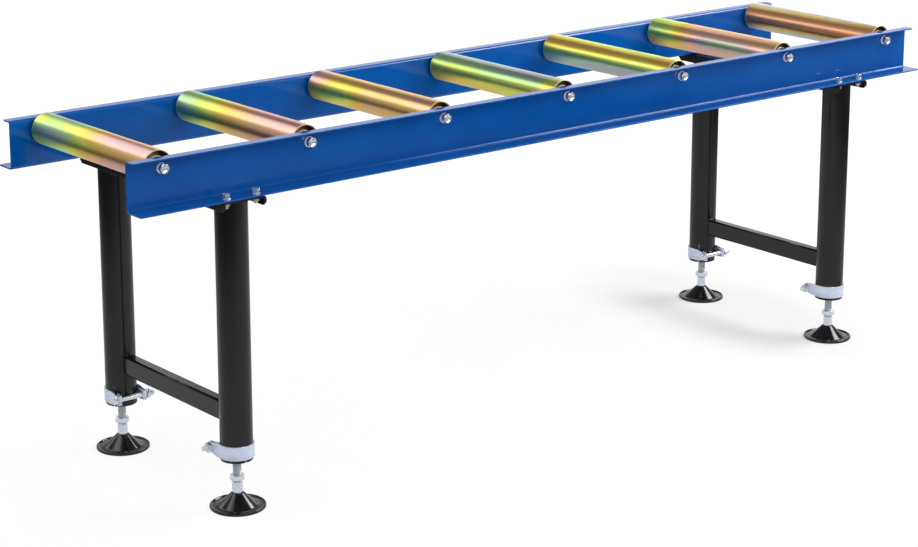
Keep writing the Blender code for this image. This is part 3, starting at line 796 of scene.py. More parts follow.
cup_z = half - CUP_DEPTH
seat_z = cup_z - BEARING_WIDTH
lip_z = half - LIP_ROOT
lip_inner = BEARING_RADIUS + 0.1 * MM
seat_inner = lip_inner - SEAT_STEP
cup_outer = tube_inner - CUP_PLAY
cup_wall = tube_inner - CUP_EDGE
cup_profile = (
    [(cup_outer, cup_z - CUP_SKIRT), (cup_outer, cup_z + CUP_RISE), (cup_wall, cup_z + CUP_RISE + 0.1 * MM)]
    + arc((cup_wall - CUP_BEND, cup_z + CUP_BEND), CUP_BEND, 0, -90, 4)
    + arc((LIP_OUTER + CUP_BEND, cup_z + CUP_BEND), CUP_BEND, 270, 180, 4)
    + [(LIP_OUTER, lip_z), (lip_inner, lip_z), (lip_inner, seat_z), (seat_inner, seat_z)]
    + [(seat_inner, seat_z - SEAT_WALL), (LIP_OUTER, seat_z - SEAT_WALL), (LIP_OUTER, cup_z - CUP_SKIRT)]
)
lip_profile = (arc((LIP_OUTER - LIP_ROUND, half - LIP_TOP - LIP_ROUND), LIP_ROUND, 0, 180, 12)
               + [(lip_inner, lip_z), (LIP_OUTER, lip_z)])
# The cup wears the painted shade finish, and lip and rim the painted highlight finish
end_meshes = {
    "end_cup": mesh_of("end_cup", painted_shade_cup_finish, turned(cup_profile, 96)),
    "cup_lip": mesh_of("cup_lip", painted_highlight_zinc, turned(lip_profile, 96)),
    "cut_rim": mesh_of("cut_rim", painted_highlight_zinc, turned(tube_rim(RIM_PROUD, 80), 128)),
}
for k in ROLLERS:
    for side in SIDES:
        for name, mesh in end_meshes.items():
            hang(f"{name}_{side}_{k}", mesh, f"roller_{k}", on_axle(k, side))
print("end cups:", 2 * len(ROLLERS), "with lips and rims")

# %% [markdown]
# ## Bearings
# A sealed ball bearing sits in each cup, 15 by 32 by 9 mm. The balls stay out of sight, so it is made of what
# shows: two ground rings with eased corners, and a rubber seal sunk a little between them.

# %% Turn the bearing rings and seals
AXLE_RADIUS = 7.5 * MM
RING_EASE = 0.5 * MM
INNER_RING, OUTER_RING = 9.6 * MM, 13.2 * MM
SEAL_SINK = 0.5 * MM
SEAL_LAP = 0.1 * MM
SEAL_SWELL, SEAL_SLOPE = 0.2 * MM, 0.9 * MM


def rounded(width, height, corner, steps):
    """A rectangle with round corners, centred on the origin."""
    across, up = width / 2 - corner, height / 2 - corner
    spots = ((across, up, 0), (-across, up, 90), (-across, -up, 180), (across, -up, 270))
    return [point for u, v, start in spots for point in arc((u, v), corner, start, start + 90, steps)]


def bearing_ring(inner, outer):
    """A ground ring with its four corners eased."""
    section = rounded(outer - inner, BEARING_WIDTH, RING_EASE, 3)
    return turned([((inner + outer) / 2 + u, v) for u, v in section], 64)


seal_face = BEARING_WIDTH / 2 - SEAL_SINK
seal_crest = seal_face + SEAL_SWELL
seal_inner, seal_outer = INNER_RING - SEAL_LAP, OUTER_RING + SEAL_LAP
seal_profile = [
    (seal_inner, -seal_face), (seal_outer, -seal_face), (seal_outer, seal_face),
    (seal_outer - SEAL_SLOPE, seal_crest), (seal_inner + SEAL_SLOPE, seal_crest), (seal_inner, seal_face),
]
ring_mesh = mesh_of("bearing_rings", bearing_steel, bearing_ring(AXLE_RADIUS + 0.05 * MM, INNER_RING),
                    bearing_ring(OUTER_RING, BEARING_RADIUS))
seal_mesh = mesh_of("bearing_seal", seal_rubber, turned(seal_profile, 64))
for k in ROLLERS:
    for side in SIDES:
        body = f"roller_{k}"
        spot = on_axle(k, side) @ at(0, 0, cup_z - BEARING_WIDTH / 2)
        hang(f"bearing_rings_{side}_{k}", ring_mesh, body, spot, [f"roller_bearing_{side}_{k}"])
        hang(f"bearing_seal_{side}_{k}", seal_mesh, body, spot)
print("bearings:", 2 * len(ROLLERS))

# %% [markdown]
# ## Axles and their bolts
# The axle is a plain rod between the webs, tapped at both ends. An M10 bolt comes in from each side with a flat
# washer and a split spring washer under its head. The spring washer leaves a dark gap between head and washer,
# and that gap is what makes a small bolt look real, so all three are separate solids. The press that struck the
# head left a shallow hollow in it, which breaks up its reflection.

# %% Heads and washers
HEX_CORNER = 1 / math.cos(HEX_STEP / 2)
CHAMFER, CHAMFER_STEPS = math.radians(30), 4
HOLLOW, HOLLOW_DEPTH, HOLLOW_STEPS = 0.80, 0.30, 6
WASHER_EASE = 0.5 * MM
SPRING_PLAY, SPRING_RISE = 0.45 * MM, 0.35 * MM
SPRING_SLOT, SPRING_STEPS = 5, 48


def hexagon_ends(half_width, low, high, face_share=0.95):
    """The profile of a hexagon's outside with a chamfer at both ends, from low to high."""
    face = face_share * half_width
    widening = HEX_CORNER * half_width - face
    shares = [k / CHAMFER_STEPS for k in range(CHAMFER_STEPS + 1)]
    cone = [(face + widening * s, widening * math.tan(CHAMFER) * s) for s in shares]
    return ([(r, low + h, half_width) for r, h in cone]
            + [(r, high - h, half_width) for r, h in reversed(cone)])


def flat_washer(inner, outer, thick, low):
    """A stamped washer, rounded on one edge."""
    edge = arc((outer - WASHER_EASE, low + thick - WASHER_EASE), WASHER_EASE, 0, 90, 3)
    return turned([(inner, low), (outer, low)] + edge + [(inner, low + thick)], 48)


def spring_washer(inner, outer, room, low):
    """A ring of square wire, cut through and sprung open to fill its room."""
    sections = []
    for k in range(SPRING_STEPS + 1):
        angle = math.radians(SPRING_SLOT + (360 - 2 * SPRING_SLOT) * k / SPRING_STEPS)
        bottom = low + SPRING_RISE * k / SPRING_STEPS
        top = bottom + room - SPRING_PLAY
        wire = ((inner, bottom), (outer, bottom), (outer, top), (inner, top))
        sections.append([polar(r, angle, z) for r, z in wire])
    return swept(sections, closed=False)


def hexagon_head(half_width, low, height):
    """A bolt head: a hexagon with a chamfer and a round hollow in its top."""
    top = low + height
    upper = hexagon_ends(half_width, low, top)[CHAMFER_STEPS + 1:]
    shares = [k / HOLLOW_STEPS for k in range(HOLLOW_STEPS, -1, -1)]
    hollow = [(HOLLOW * half_width * s, top - HOLLOW_DEPTH * half_width * (1 - s ** 2)) for s in shares]
    return turned([(0, low), (HEX_CORNER * half_width, low, half_width)] + upper + hollow, 60)


print("a hexagon's corner stands", round(HEX_CORNER, 4), "half widths out")

# %% [markdown]
# The bolts are hung with the axles, on the frame, because an axle stands still while its roller turns. No two
# neighbours stop at the same angle when they are tightened, so each bolt gets a turn of its own.

# %% Turn the axles, bolts and washers
AXLE_EASE = 0.8 * MM
WASHER_RADIUS, WASHER_THICK = 10 * MM, 2 * MM
SPRING_RADIUS, SPRING_ROOM = 8.6 * MM, 3 * MM
BOLT_RADIUS, BOLT_SINK = 5 * MM, 10 * MM
AXLE_HEAD_HALF, AXLE_HEAD_HEIGHT = 8.5 * MM, 7.2 * MM
BOLT_TURN, BOLT_STEP = 30, 11


def rod(radius, low, high, sides):
    """A plain round rod along Z."""
    return turned([(0, low), (radius, low), (radius, high), (0, high)], sides)


axle_tip = [(0, WEB_INNER), (AXLE_RADIUS - AXLE_EASE, WEB_INNER), (AXLE_RADIUS, WEB_INNER - AXLE_EASE)]
axle_profile = [(r, -z) for r, z in axle_tip] + axle_tip[::-1]
axle_mesh = mesh_of("roller_axle", fastener_zinc, turned(axle_profile, 48))
stack = WASHER_THICK + SPRING_ROOM
bolt_meshes = {
    "washer": mesh_of("axle_washer", washer_zinc, flat_washer(BOLT_RADIUS, WASHER_RADIUS, WASHER_THICK, 0)),
    "spring_washer": mesh_of("axle_spring_washer", spring_steel, spring_washer(
        BOLT_RADIUS + 0.3 * MM, SPRING_RADIUS, SPRING_ROOM, WASHER_THICK + 0.05 * MM)),
    "bolt": mesh_of("axle_bolt", fastener_zinc, rod(BOLT_RADIUS - 0.1 * MM, -BOLT_SINK, stack, 32),
                    hexagon_head(AXLE_HEAD_HALF, stack, AXLE_HEAD_HEIGHT)),
}
for k in ROLLERS:
    hang(f"axle_rod_{k}", axle_mesh, "frame", on_axle(k, "front"), [f"roller_axle_{k}"])
    for side in SIDES:
        steps = 5 * k % len(ROLLERS) - 5 + SIDES.index(side)
        spot = on_axle(k, side) @ at(0, 0, WEB_OUTER) @ about_z(BOLT_TURN + BOLT_STEP * steps)
        for name, mesh in bolt_meshes.items():
            hang(f"axle_{name}_{side}_{k}", mesh, "frame", spot)
print("axles:", len(ROLLERS), "with", 2 * len(ROLLERS), "bolts, washers and spring washers")

# %% [markdown]
# ## Brackets under the rails
# Each leg frame hangs from a folded channel that runs under both rails, open side down. It is drawn from its
# folded outline like the rails, and its lower corners are cut off at an angle so that nobody is scratched.

# %% Fold the brackets
BRACKET_SHEET = 4 * MM
BRACKET_BEND = 3 * MM
BRACKET_CORNER = 7 * MM
BRACKET_DEPTH = 19 * MM
BRACKET_EASE = 0.5 * MM
SEAT_GAP = 0.3 * MM

bracket_low, bracket_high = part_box("leg_bracket_left")
BRACKET_HALF = (bracket_high.x - bracket_low.x) / 2
BRACKET_TOP = rail_low.z - SEAT_GAP
outer_bend = BRACKET_BEND + BRACKET_SHEET
inside = BRACKET_HALF - BRACKET_SHEET
channel = (
    [(BRACKET_HALF, -BRACKET_DEPTH)]
    + arc((BRACKET_HALF - outer_bend, -outer_bend), outer_bend, 0, 90)
    + arc((outer_bend - BRACKET_HALF, -outer_bend), outer_bend, 90, 180)
    + [(-BRACKET_HALF, -BRACKET_DEPTH), (-inside, -BRACKET_DEPTH)]
    + arc((BRACKET_BEND - inside, -outer_bend), BRACKET_BEND, 180, 90)
    + arc((inside - BRACKET_BEND, -outer_bend), BRACKET_BEND, 90, 0)
    + [(inside, -BRACKET_DEPTH)]
)
bracket_shape = drawn(channel, -bracket_high.y, bracket_high.y, "XZY")
# The short edges through the sheet at the lower corners
corners = [e for e in bracket_shape.edges
           if all(v.co.z < MM - BRACKET_DEPTH for v in e.verts) and e.verts[0].co.x * e.verts[1].co.x > 0
           and abs(e.verts[0].co.y - e.verts[1].co.y) < MM]
bmesh.ops.bevel(bracket_shape, geom=corners, offset=BRACKET_CORNER, segments=1, affect="EDGES")
bracket_mesh = levelled(cut_and_eased(mesh_of("leg_bracket", black_coat, bracket_shape), None, BRACKET_EASE))
for end in ENDS:
    spot = at(LEG_X[end], 0, BRACKET_TOP)
    hang(f"folded_bracket_{end}", bracket_mesh, "frame", spot, [f"leg_bracket_{end}"])
print("brackets:", len(ENDS), "with", len(bracket_mesh.polygons), "faces each")

# %% [markdown]
# Nuts are hexagons with a countersunk bore, and a short tail of thread stands out of each. A screw thread is a
# cylinder whose radius follows a saw-tooth that climbs one pitch each turn, so the sweep can cut it too. A bump
# map would lose the toothed outline.

# %% Threads and nuts
THREAD_DEPTH, THREAD_FLAT, THREAD_ROWS = 0.55, 0.25, 8
SINK_WIDTH, SINK_DEPTH = 0.8 * MM, 0.6 * MM
BOLT_PITCH, SHANK_PLAY, TAIL_LAP = 1.25 * MM, 0.2 * MM, 0.5 * MM


def threaded(radius, pitch, low, high, sides):
    """A threaded rod along Z: its rows of points follow a V thread that runs out at both ends."""
    steps = max(2, round((high - low) / pitch * THREAD_ROWS))
    sections = []
    for j in range(steps + 1):
        height = low + (high - low) * j / steps
        run_out = min(1.0, (height - low) / pitch, (high - height) / pitch)
        ring = []
        for k in range(sides):
            phase = (height / pitch - k / sides) % 1
            groove = max(0.0, abs(2 * phase - 1) * (1 + THREAD_FLAT) - THREAD_FLAT)
            reach = radius - THREAD_DEPTH * pitch * (1 - run_out * (1 - groove))
            ring.append(polar(reach, math.tau * k / sides, height))
        sections.append(ring)
    return swept(sections, closed=False)


def hexagon_nut(half_width, bore, low, height, sides=60):
    """A nut: a chamfered hexagon with a countersunk bore."""
    high, mouth = low + height, bore + SINK_WIDTH
    return turned([(bore, low + SINK_DEPTH), (mouth, low)] + hexagon_ends(half_width, low, high)
                  + [(mouth, high), (bore, high - SINK_DEPTH)], sides)


def shank(radius, seat, nut_end, tail, sides):
    """A bolt's shank from its seat to the end of its nut, and the threaded tail beyond."""
    return (rod(radius - SHANK_PLAY, nut_end, seat, sides),
            threaded(radius, BOLT_PITCH, nut_end - tail, nut_end + TAIL_LAP, 24))


print("threads ready, with", THREAD_ROWS, "rows of points to a pitch")

# %% [markdown]
# Four M8 bolts hold each bracket. They go down through the rail flanges, with a flat washer and a spring washer
# under the head, and their nuts sit inside the channel, where they show from the side.

# %% Bolt the brackets on
FRAME_BOLT_RADIUS = 4 * MM
FRAME_WASHER_RADIUS, FRAME_WASHER_THICK = 8.4 * MM, 1.6 * MM
FRAME_SPRING_RADIUS, FRAME_SPRING_ROOM = 7 * MM, 2.2 * MM
FRAME_HEAD_HALF, FRAME_HEAD_HEIGHT = 6.5 * MM, 5.3 * MM
FRAME_NUT_HEIGHT, FRAME_TAIL = 6.5 * MM, 4 * MM

flange_face = RAIL_SHEET + SEAT_GAP
spring_seat = flange_face + FRAME_WASHER_THICK
head_seat = spring_seat + FRAME_SPRING_ROOM
nut_end = -BRACKET_SHEET - FRAME_NUT_HEIGHT
frame_meshes = {
    "bolt": mesh_of("frame_bolt", fastener_zinc, hexagon_head(FRAME_HEAD_HALF, head_seat, FRAME_HEAD_HEIGHT),
                    *shank(FRAME_BOLT_RADIUS, head_seat, nut_end, FRAME_TAIL, 24)),
    "washers": mesh_of(
        "frame_washers", fastener_zinc,
        flat_washer(FRAME_BOLT_RADIUS, FRAME_WASHER_RADIUS, FRAME_WASHER_THICK, flange_face),
        spring_washer(FRAME_BOLT_RADIUS + 0.2 * MM, FRAME_SPRING_RADIUS, FRAME_SPRING_ROOM, spring_seat)),
    "nut": mesh_of("frame_nut", fastener_zinc,
                   hexagon_nut(FRAME_HEAD_HALF, FRAME_BOLT_RADIUS, nut_end, FRAME_NUT_HEIGHT)),
}
for end in ENDS:
    for side, sign in (("front", -1), ("rear", 1)):
        for number, step in ((1, -0.5), (2, 0.5)):
            x, y = LEG_X[end] + step * SPARE_HOLE_SPACING, sign * (WEB_INNER + FRAME_BOLT_FROM_WEB)
            spot = at(x, y, BRACKET_TOP) @ about_z(29 * number + 17 * sign)
            for name, mesh in frame_meshes.items():
                hang(f"frame_{name}_{side}_{end}_{number}", mesh, "frame", spot)
print("frame bolts:", 4 * len(ENDS), "with washers and nuts")

# %% [markdown]
# ## Outer legs
# The outer leg is a tube welded under the bracket. Three saw cuts at its lower end let the clamp squeeze it on
# the inner leg. Slits that are only dark lines would stay closed in a close view, so they are cut with a cutter,
# as in the workshop, and the bright inner leg shows through.

# %% Turn and slit the leg tubes
LEG_WALL = 2.5 * MM
LEG_EASE = 0.4 * MM
LEG_SIDES = 120
SLIT_WIDTH = 2.6 * MM
SLIT_HEIGHT = 42 * MM
SLIT_COUNT = 3
SAW_OVERRUN = 5 * MM


def turned_in(place):
    """The turn that brings a leg's inner side to face the other rail."""
    return about_z(180 if place.y > 0 else 0)


leg_length = tube_high.z - tube_low.z
leg_bore = LEG_RADIUS - LEG_WALL
leg_profile = [
    (leg_bore + LEG_EASE, 0), (LEG_RADIUS - LEG_EASE, 0), (LEG_RADIUS, LEG_EASE), (LEG_RADIUS, leg_length),
    (leg_bore, leg_length), (leg_bore, LEG_EASE),
]
slit_outline = ([(-SLIT_WIDTH / 2, -SAW_OVERRUN), (SLIT_WIDTH / 2, -SAW_OVERRUN)]
                + arc((0, SLIT_HEIGHT - SLIT_WIDTH / 2), SLIT_WIDTH / 2, 0, 180, 8))
slits = []
for number in range(SLIT_COUNT):
    slit = drawn(slit_outline, -LEG_RADIUS - SAW_OVERRUN, -LEG_RADIUS / 2, "XZY")
    turn = about_z(360 / SLIT_COUNT * number).to_3x3()
    bmesh.ops.rotate(slit, cent=(0, 0, 0), matrix=turn, verts=slit.verts)
    slits.append(slit)
leg_blank = mesh_of("outer_leg", black_coat, turned(leg_profile, LEG_SIDES))
leg_mesh = cut_and_eased(leg_blank, mesh_of("slits", black_coat, *slits))
for leg, place in leg_places.items():
    spot = at(place.x, place.y, tube_low.z) @ turned_in(place)
    hang(f"outer_leg_{leg}", leg_mesh, "frame", spot, [f"leg_tube_{leg}"])
print("outer legs:", len(leg_places), "with", len(leg_mesh.polygons), "faces each")

# %% [markdown]
# A weld bead runs round the tube under the bracket. It is a round section swept along its path, swelling and
# thinning a little as the torch moved on. A smooth ring would look like a washer.

# %% Weld the leg tubes
WELD, WELD_OUT, WELD_DOWN = 2.4 * MM, 0.6 * MM, 0.4 * MM
WELD_SHARP = 60
BEAD_SIDES = 10
RIPPLES = ((0.10, 1.9), (0.05, 0.7))


def bead(path, radius):
    """A weld bead along a closed path of (point, outward direction) pairs, with the ripples of the torch."""
    sections = []
    count = len(path)
    for k, (point, outward) in enumerate(path):
        along = (path[(k + 1) % count][0] - path[k - 1][0]).normalized()
        across = along.cross(outward).normalized()
        lift = outward.normalized()
        ripple = radius * (1 + sum(size * math.sin(k * pace) for size, pace in RIPPLES))
        angles = [math.tau * j / BEAD_SIDES for j in range(BEAD_SIDES)]
        sections.append([point + ripple * (math.cos(a) * lift + math.sin(a) * across) for a in angles])
    return swept(sections, closed=True)


angles = [math.tau * k / LEG_SIDES for k in range(LEG_SIDES)]
ring_path = [(Vector(polar(LEG_RADIUS + WELD_OUT, angle, leg_length - WELD_DOWN)), Vector(polar(1, angle, -1)))
             for angle in angles]
leg_weld_mesh = mesh_of("leg_weld", black_coat, bead(ring_path, WELD), sharp=WELD_SHARP)
for leg, place in leg_places.items():
    spot = at(place.x, place.y, tube_low.z) @ turned_in(place)
    hang(f"leg_weld_{leg}", leg_weld_mesh, "frame", spot)
print("leg welds:", len(leg_places), "with", len(leg_weld_mesh.polygons), "faces each")

# %% [markdown]
# ## Crossbars
# A rectangular tube ties the two legs of a frame together. Its round corners give the two dark lines along its
# top edge. The weld follows the curve where flat bar meets round tube, so its path is worked out on the cylinder.

# %% Draw the crossbars and their welds
BAR_CORNER = 4 * MM
BAR_SINK = 0.4 * MM
BAR_WELD, BAR_WELD_OUT, BAR_WELD_LEAN, BAR_WELD_PACE = 2.0 * MM, 0.5 * MM, 9 * MM, 1.6 * MM

bar_low, bar_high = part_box("leg_crossbar_left")
BAR_WIDTH = bar_high.x - bar_low.x
BAR_HEIGHT = bar_high.z - bar_low.z


def leg_surface(x):
    """How far out from the middle a leg's inner side is, at a place across it."""
    return LEG_Y - math.sqrt(LEG_RADIUS ** 2 - x ** 2)


def stepped(outline, pace):
    """The same closed outline with points no further apart than the pace."""
    points = []
    for (u0, v0), (u1, v1) in zip(outline, outline[1:] + outline[:1]):
        count = max(1, math.ceil(math.hypot(u1 - u0, v1 - v0) / pace))
        points += [(u0 + (u1 - u0) * k / count, v0 + (v1 - v0) * k / count) for k in range(count)]
    return points


bar_outline = rounded(BAR_WIDTH, BAR_HEIGHT, BAR_CORNER, 5)
bar_reach = leg_surface(BAR_WIDTH / 2) + BAR_SINK
bar_mesh = levelled(mesh_of("crossbar", black_coat, drawn(bar_outline, -bar_reach, bar_reach, "XZY")))
weld_path = [(Vector((u, leg_surface(u) - BAR_WELD_OUT, v)), Vector((u, -BAR_WELD_LEAN, v)))
             for u, v in stepped(bar_outline, BAR_WELD_PACE)]
bar_weld_mesh = mesh_of("crossbar_weld", black_coat, bead(weld_path, BAR_WELD), sharp=WELD_SHARP)
for end in ENDS:
    spot = at(LEG_X[end], 0, (bar_low.z + bar_high.z) / 2)
    hang(f"crossbar_{end}", bar_mesh, "frame", spot, [f"leg_crossbar_{end}"])
    for side, turn in RAIL_TURNS.items():
        hang(f"crossbar_weld_{side}_{end}", bar_weld_mesh, "frame", spot @ about_z(turn))
print("crossbars:", len(ENDS), f"of {BAR_WIDTH:.3f} x {BAR_HEIGHT:.3f} m")

# %% [markdown]
# ## Inner legs
# A plated tube slides inside each outer leg. At rest only its end shows, as a bright line through the saw cuts,
# and a short stub would do. But when the leg is drawn out it stands in full view, so it is turned at its full
# length. A thick plug closes its lower end and carries the spindle.

# %% Turn the inner legs
PLUG_HEIGHT = 16 * MM
PLUG_EASE = 1 * MM
SPINDLE_RADIUS = 8 * MM
SLIDE_PLAY = 0.3 * MM

inner_low, inner_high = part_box("inner_leg_front_left")
inner_radius = leg_bore - SLIDE_PLAY
inner_length = inner_high.z - inner_low.z
inner_bore = inner_radius - LEG_WALL
plug_bore = SPINDLE_RADIUS + 0.1 * MM
inner_profile = [
    (plug_bore, 0.8 * MM), (plug_bore + 1.1 * MM, 0), (inner_radius - PLUG_EASE, 0), (inner_radius, PLUG_EASE),
    (inner_radius, inner_length), (inner_bore, inner_length), (inner_bore, PLUG_HEIGHT), (plug_bore, PLUG_HEIGHT),
]
inner_mesh = mesh_of("inner_leg", inner_leg_zinc, turned(inner_profile, 96))
for leg, place in leg_places.items():
    spot = at(place.x, place.y, inner_low.z)
    hang(f"inner_leg_tube_{leg}", inner_mesh, f"leg_{leg}", spot, [f"inner_leg_{leg}"])
print("inner legs:", len(leg_places), f"of {inner_length:.3f} m")

# %% [markdown]
# ## Clamps
# A band of plated strip goes round the slit end of each outer leg and turns into two ears on the inner side.
# Each ear is folded back on itself into a loop, and a round-headed bolt through both loops draws the band tight.
# The band is swept as one strip along its plan: loop, ear, round the tube, ear, loop. The strip narrows towards
# the loops.

# %% Bend the bands
BAND_THICK = 2.2 * MM
BAND_PLAY = 0.2 * MM
EAR_FROM_TUBE = 6 * MM
EAR_BEYOND_BOLT = 7.5 * MM
LOOP_WIDTH = 9 * MM
LOOP_HEIGHT = 18 * MM
LOOP_TAIL = (12 * MM, 4 * MM)
EDGE_BEAD, EDGE_WIDTH = 0.5 * MM, 1.6 * MM
NARROW_FROM, NARROW_OVER = 0.35, 0.45
BAND_SHARP = 40

clamp_low, clamp_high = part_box("leg_clamp_front_left")
BAND_HEIGHT = clamp_high.z - clamp_low.z
band_inner = LEG_RADIUS + BAND_PLAY
bolt_y = LEG_RADIUS + EAR_FROM_TUBE
ear_end = bolt_y + EAR_BEYOND_BOLT
loop_radius = (LOOP_WIDTH - 2 * BAND_THICK) / 2
loop_x = band_inner - loop_radius
loop_y = ear_end - loop_radius - BAND_THICK


def strip_section(height):
    """The strip cut across, as (thickness, height) points: flat, with a raised round edge above and below."""
    low = -height / 2
    lip = min(EDGE_WIDTH, 0.15 * height)
    crest = BAND_THICK + EDGE_BEAD
    lower = [(0, low), (BAND_THICK + 0.2 * EDGE_BEAD, low), (crest, low + 0.4 * lip), (crest, low + 0.8 * lip),
             (BAND_THICK, low + 1.4 * lip)]
    return lower + [(t, -z) for t, z in reversed(lower)]


def narrowing(y):
    """The strip's height on an ear: full beside the tube, and that of the loop at its end."""
    share = min(1.0, max(0.0, (y - NARROW_FROM * ear_end) / (NARROW_OVER * ear_end)))
    return BAND_HEIGHT - (BAND_HEIGHT - LOOP_HEIGHT) * share * share * (3 - 2 * share)


def bend(centre, radius, start, end, steps):
    """Places along a bend of the strip, each with its outward direction."""
    return [((centre[0] + radius * u, centre[1] + radius * v), (u, v))
            for u, v in arc((0, 0), 1, start, end, steps)]


half_plan = (
    [((loop_x - loop_radius, loop_y - tail), (-1, 0)) for tail in LOOP_TAIL]
    + bend((loop_x, loop_y), loop_radius, 180, 0, 12)
    + [((band_inner, loop_y * (1 - k / 10)), (1, 0)) for k in range(1, 10)]
    + bend((0, 0), band_inner, 0, -90, 36)
)
plan = half_plan + [((-x, y), (-u, v)) for (x, y), (u, v) in reversed(half_plan[:-1])]
sections = [[(x + u * t, y + v * t, z) for t, z in strip_section(narrowing(y))] for (x, y), (u, v) in plan]
band_mesh = mesh_of("clamp_band", clamp_zinc, swept(sections, closed=False), sharp=BAND_SHARP)
print("clamp band:", len(band_mesh.polygons), "faces,", round(BAND_HEIGHT, 4), "m high")

# %% [markdown]
# The clamp's bolt has a low round head, on which nothing catches, and a large nut on the other ear. Shank, tail
# and nut come from the functions of the frame bolts. Only the round head needs a profile of its own.

# %% Fit the bands, bolts and nuts
ALONG_X = Matrix.Rotation(math.pi / 2, 4, "Y")
CLAMP_BOLT_RADIUS = 5 * MM
DOME_RADIUS, DOME_HEIGHT, DOME_EDGE = 8 * MM, 5.5 * MM, 0.6 * MM
CLAMP_NUT_HALF, CLAMP_NUT_HEIGHT, CLAMP_NUT_TURN = 8.5 * MM, 8 * MM, 20
CLAMP_TAIL = 9 * MM

ear_face = band_inner + BAND_THICK
dome_profile = [(0, ear_face), (DOME_RADIUS - 0.4 * MM, ear_face)]
for angle in (math.radians(degrees) for degrees in range(0, 90, 10)):
    rise = DOME_EDGE + (DOME_HEIGHT - DOME_EDGE) * math.sin(angle)
    dome_profile.append((DOME_RADIUS * math.cos(angle), ear_face + rise))
dome_profile.append((0, ear_face + DOME_HEIGHT))
nut_outer = -ear_face - CLAMP_NUT_HEIGHT
clamp_bolt_mesh = mesh_of("clamp_bolt", fastener_zinc, turned(dome_profile, 48),
                          *shank(CLAMP_BOLT_RADIUS, ear_face, nut_outer, CLAMP_TAIL, 32))
clamp_nut_mesh = mesh_of("clamp_nut", fastener_zinc,
                         hexagon_nut(CLAMP_NUT_HALF, CLAMP_BOLT_RADIUS, nut_outer, CLAMP_NUT_HEIGHT))
for leg, place in leg_places.items():
    spot = at(place.x, place.y, (clamp_low.z + clamp_high.z) / 2) @ turned_in(place)
    through = spot @ at(0, bolt_y, 0) @ ALONG_X
    hang(f"clamp_band_{leg}", band_mesh, "frame", spot, [f"leg_clamp_{leg}"])
    hang(f"clamp_bolt_{leg}", clamp_bolt_mesh, "frame", through)
    hang(f"clamp_nut_{leg}", clamp_nut_mesh, "frame", through @ about_z(CLAMP_NUT_TURN))
print("clamps:", len(leg_places))

# %% [markdown]
# ## Levelling spindles
# The spindle is an M16 screw with a hexagon sleeve for the spanner and a thin lock nut above it. A smooth rod
# would pass at rest, where the thread is hidden in the leg. It is cut as real geometry all the same, because it
# stands in the open when the foot is screwed out.

# %% Cut the spindles and lock nuts
THREAD_PITCH = 2 * MM
SLEEVE_HALF, SLEEVE_FACE = 8.5 * MM, 0.90
LOCK_NUT_HALF = 12 * MM
PIN_RADIUS = 6 * MM
NECK = 1.6 * MM
SPINDLE_GAP = 0.3 * MM

spindle_low, spindle_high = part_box("foot_spindle_front_left")
nut_low, nut_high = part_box("foot_lock_nut_front_left")
foot_low, foot_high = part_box("foot_pad_front_left")
sleeve_low = foot_high.z + SPINDLE_GAP
sleeve_top = nut_low.z - SPINDLE_GAP
neck_low = sleeve_top - NECK
sleeve_profile = (
    [(0, spindle_low.z), (PIN_RADIUS, spindle_low.z), (PIN_RADIUS, sleeve_low)]
    + hexagon_ends(SLEEVE_HALF, sleeve_low, neck_low, SLEEVE_FACE)
    + [(PIN_RADIUS, neck_low), (PIN_RADIUS, sleeve_top), (0, sleeve_top)]
)
sleeve_mesh = mesh_of("spindle_sleeve", sleeve_zinc, turned(sleeve_profile, 60))
thread_mesh = mesh_of("spindle_thread", thread_zinc,
                      threaded(SPINDLE_RADIUS, THREAD_PITCH, sleeve_top, spindle_high.z, 36))
lock_nut_shape = hexagon_nut(LOCK_NUT_HALF, SPINDLE_RADIUS + 0.05 * MM, nut_low.z, nut_high.z - nut_low.z, 72)
lock_nut_mesh = mesh_of("lock_nut", sleeve_zinc, lock_nut_shape)
for number, (leg, place) in enumerate(leg_places.items()):
    body = f"spindle_{leg}"
    spot = at(place.x, place.y, 0) @ about_z(23 * number)
    nut_spot = spot @ about_z(14 + 9 * number)
    hang(f"spindle_sleeve_{leg}", sleeve_mesh, body, spot, [f"foot_spindle_{leg}"])
    hang(f"spindle_thread_{leg}", thread_mesh, body, spot)
    hang(f"lock_nut_{leg}", lock_nut_mesh, body, nut_spot, [f"foot_lock_nut_{leg}"])
print("spindles:", len(leg_places), "with", len(thread_mesh.polygons), "faces of thread each")

# %% [markdown]
# ## Feet
# The foot is a moulded disc with a raised rim, a flat brim and a steep cone that ends in the spindle's socket.
# Its whole character is in the radii: a round rim gives a double line of light at the front, and the cone
# mirrors the lamps as streaks. A cone set on a disc would lose both, so the profile is turned in one piece.

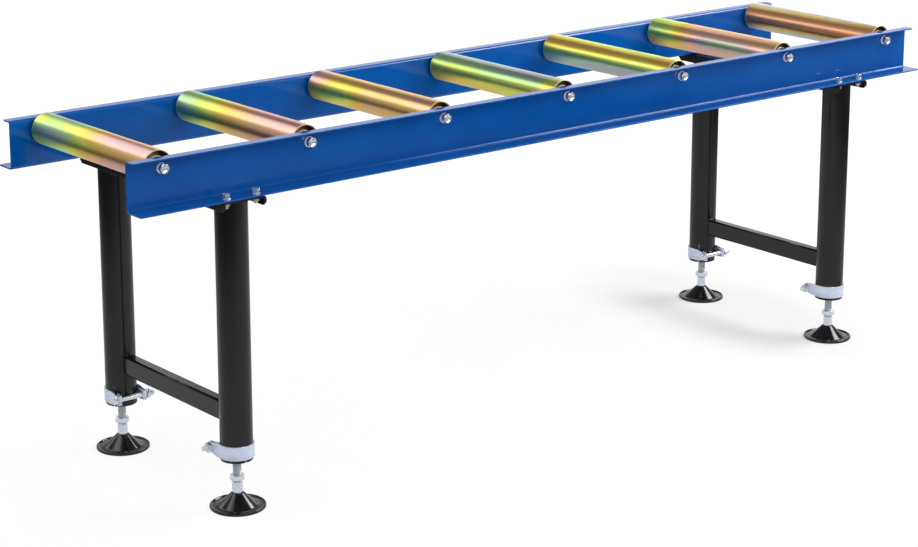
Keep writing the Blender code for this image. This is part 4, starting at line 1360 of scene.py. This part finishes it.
# %% Turn the feet
FOOT_RADIUS = (foot_high.x - foot_low.x) / 2
FOOT_EASE = 1.2 * MM
RIM_HEIGHT = 6 * MM
RIM_ROUND = 1.8 * MM
BRIM_HEIGHT = 4 * MM
CONE_BASE = 35.5 * MM
CONE_TOP = 12.6 * MM
CONE_FILLET = 2 * MM
CONE_ROUND = 1.5 * MM
SOCKET = 9.4 * MM
FOOT_SHARP = 50

foot_top = foot_high.z
pin_bore, pin_end = PIN_RADIUS + SPINDLE_GAP, spindle_low.z - SPINDLE_GAP
tilt = math.degrees(math.atan2(foot_top - BRIM_HEIGHT, CONE_BASE - CONE_TOP))
foot_profile = (
    [(0, 0), (FOOT_RADIUS - FOOT_EASE, 0), (FOOT_RADIUS, FOOT_EASE)]
    + arc((FOOT_RADIUS - RIM_ROUND, RIM_HEIGHT - RIM_ROUND), RIM_ROUND, 0, 160, 7)
    + arc((FOOT_RADIUS - 2 * RIM_ROUND - 1.6 * MM, BRIM_HEIGHT + 0.4 * MM), 0.8 * MM, -30, -90, 3)
    + [(CONE_BASE + CONE_FILLET, BRIM_HEIGHT - 0.2 * MM)]
    + [(CONE_BASE + 0.5 * CONE_FILLET, BRIM_HEIGHT + 0.15 * MM)]
    + [(CONE_BASE - 0.3 * CONE_FILLET, BRIM_HEIGHT + 0.75 * CONE_FILLET)]
    + arc((CONE_TOP - CONE_ROUND, foot_top - CONE_ROUND), CONE_ROUND, 90 - tilt, 90, 4)
    + [(SOCKET, foot_top), (SOCKET - 0.6 * MM, foot_top - 1.5 * MM), (pin_bore, foot_top - 2 * MM)]
    + [(pin_bore, pin_end), (0, pin_end)]
)
foot_mesh = mesh_of("levelling_foot", foot_black, turned(foot_profile, 128), sharp=FOOT_SHARP)
for leg, place in leg_places.items():
    spot = at(place.x, place.y, 0)
    hang(f"levelling_foot_{leg}", foot_mesh, f"foot_{leg}", spot, [f"foot_pad_{leg}"])
print("feet:", len(leg_places), f"of {2 * FOOT_RADIUS:.3f} m, cone {tilt:.0f} degrees")

# %% [markdown]
# ## Done
# The dressed part has to fill the same box as the imported one.

# %% Update the scene
bpy.context.view_layer.update()
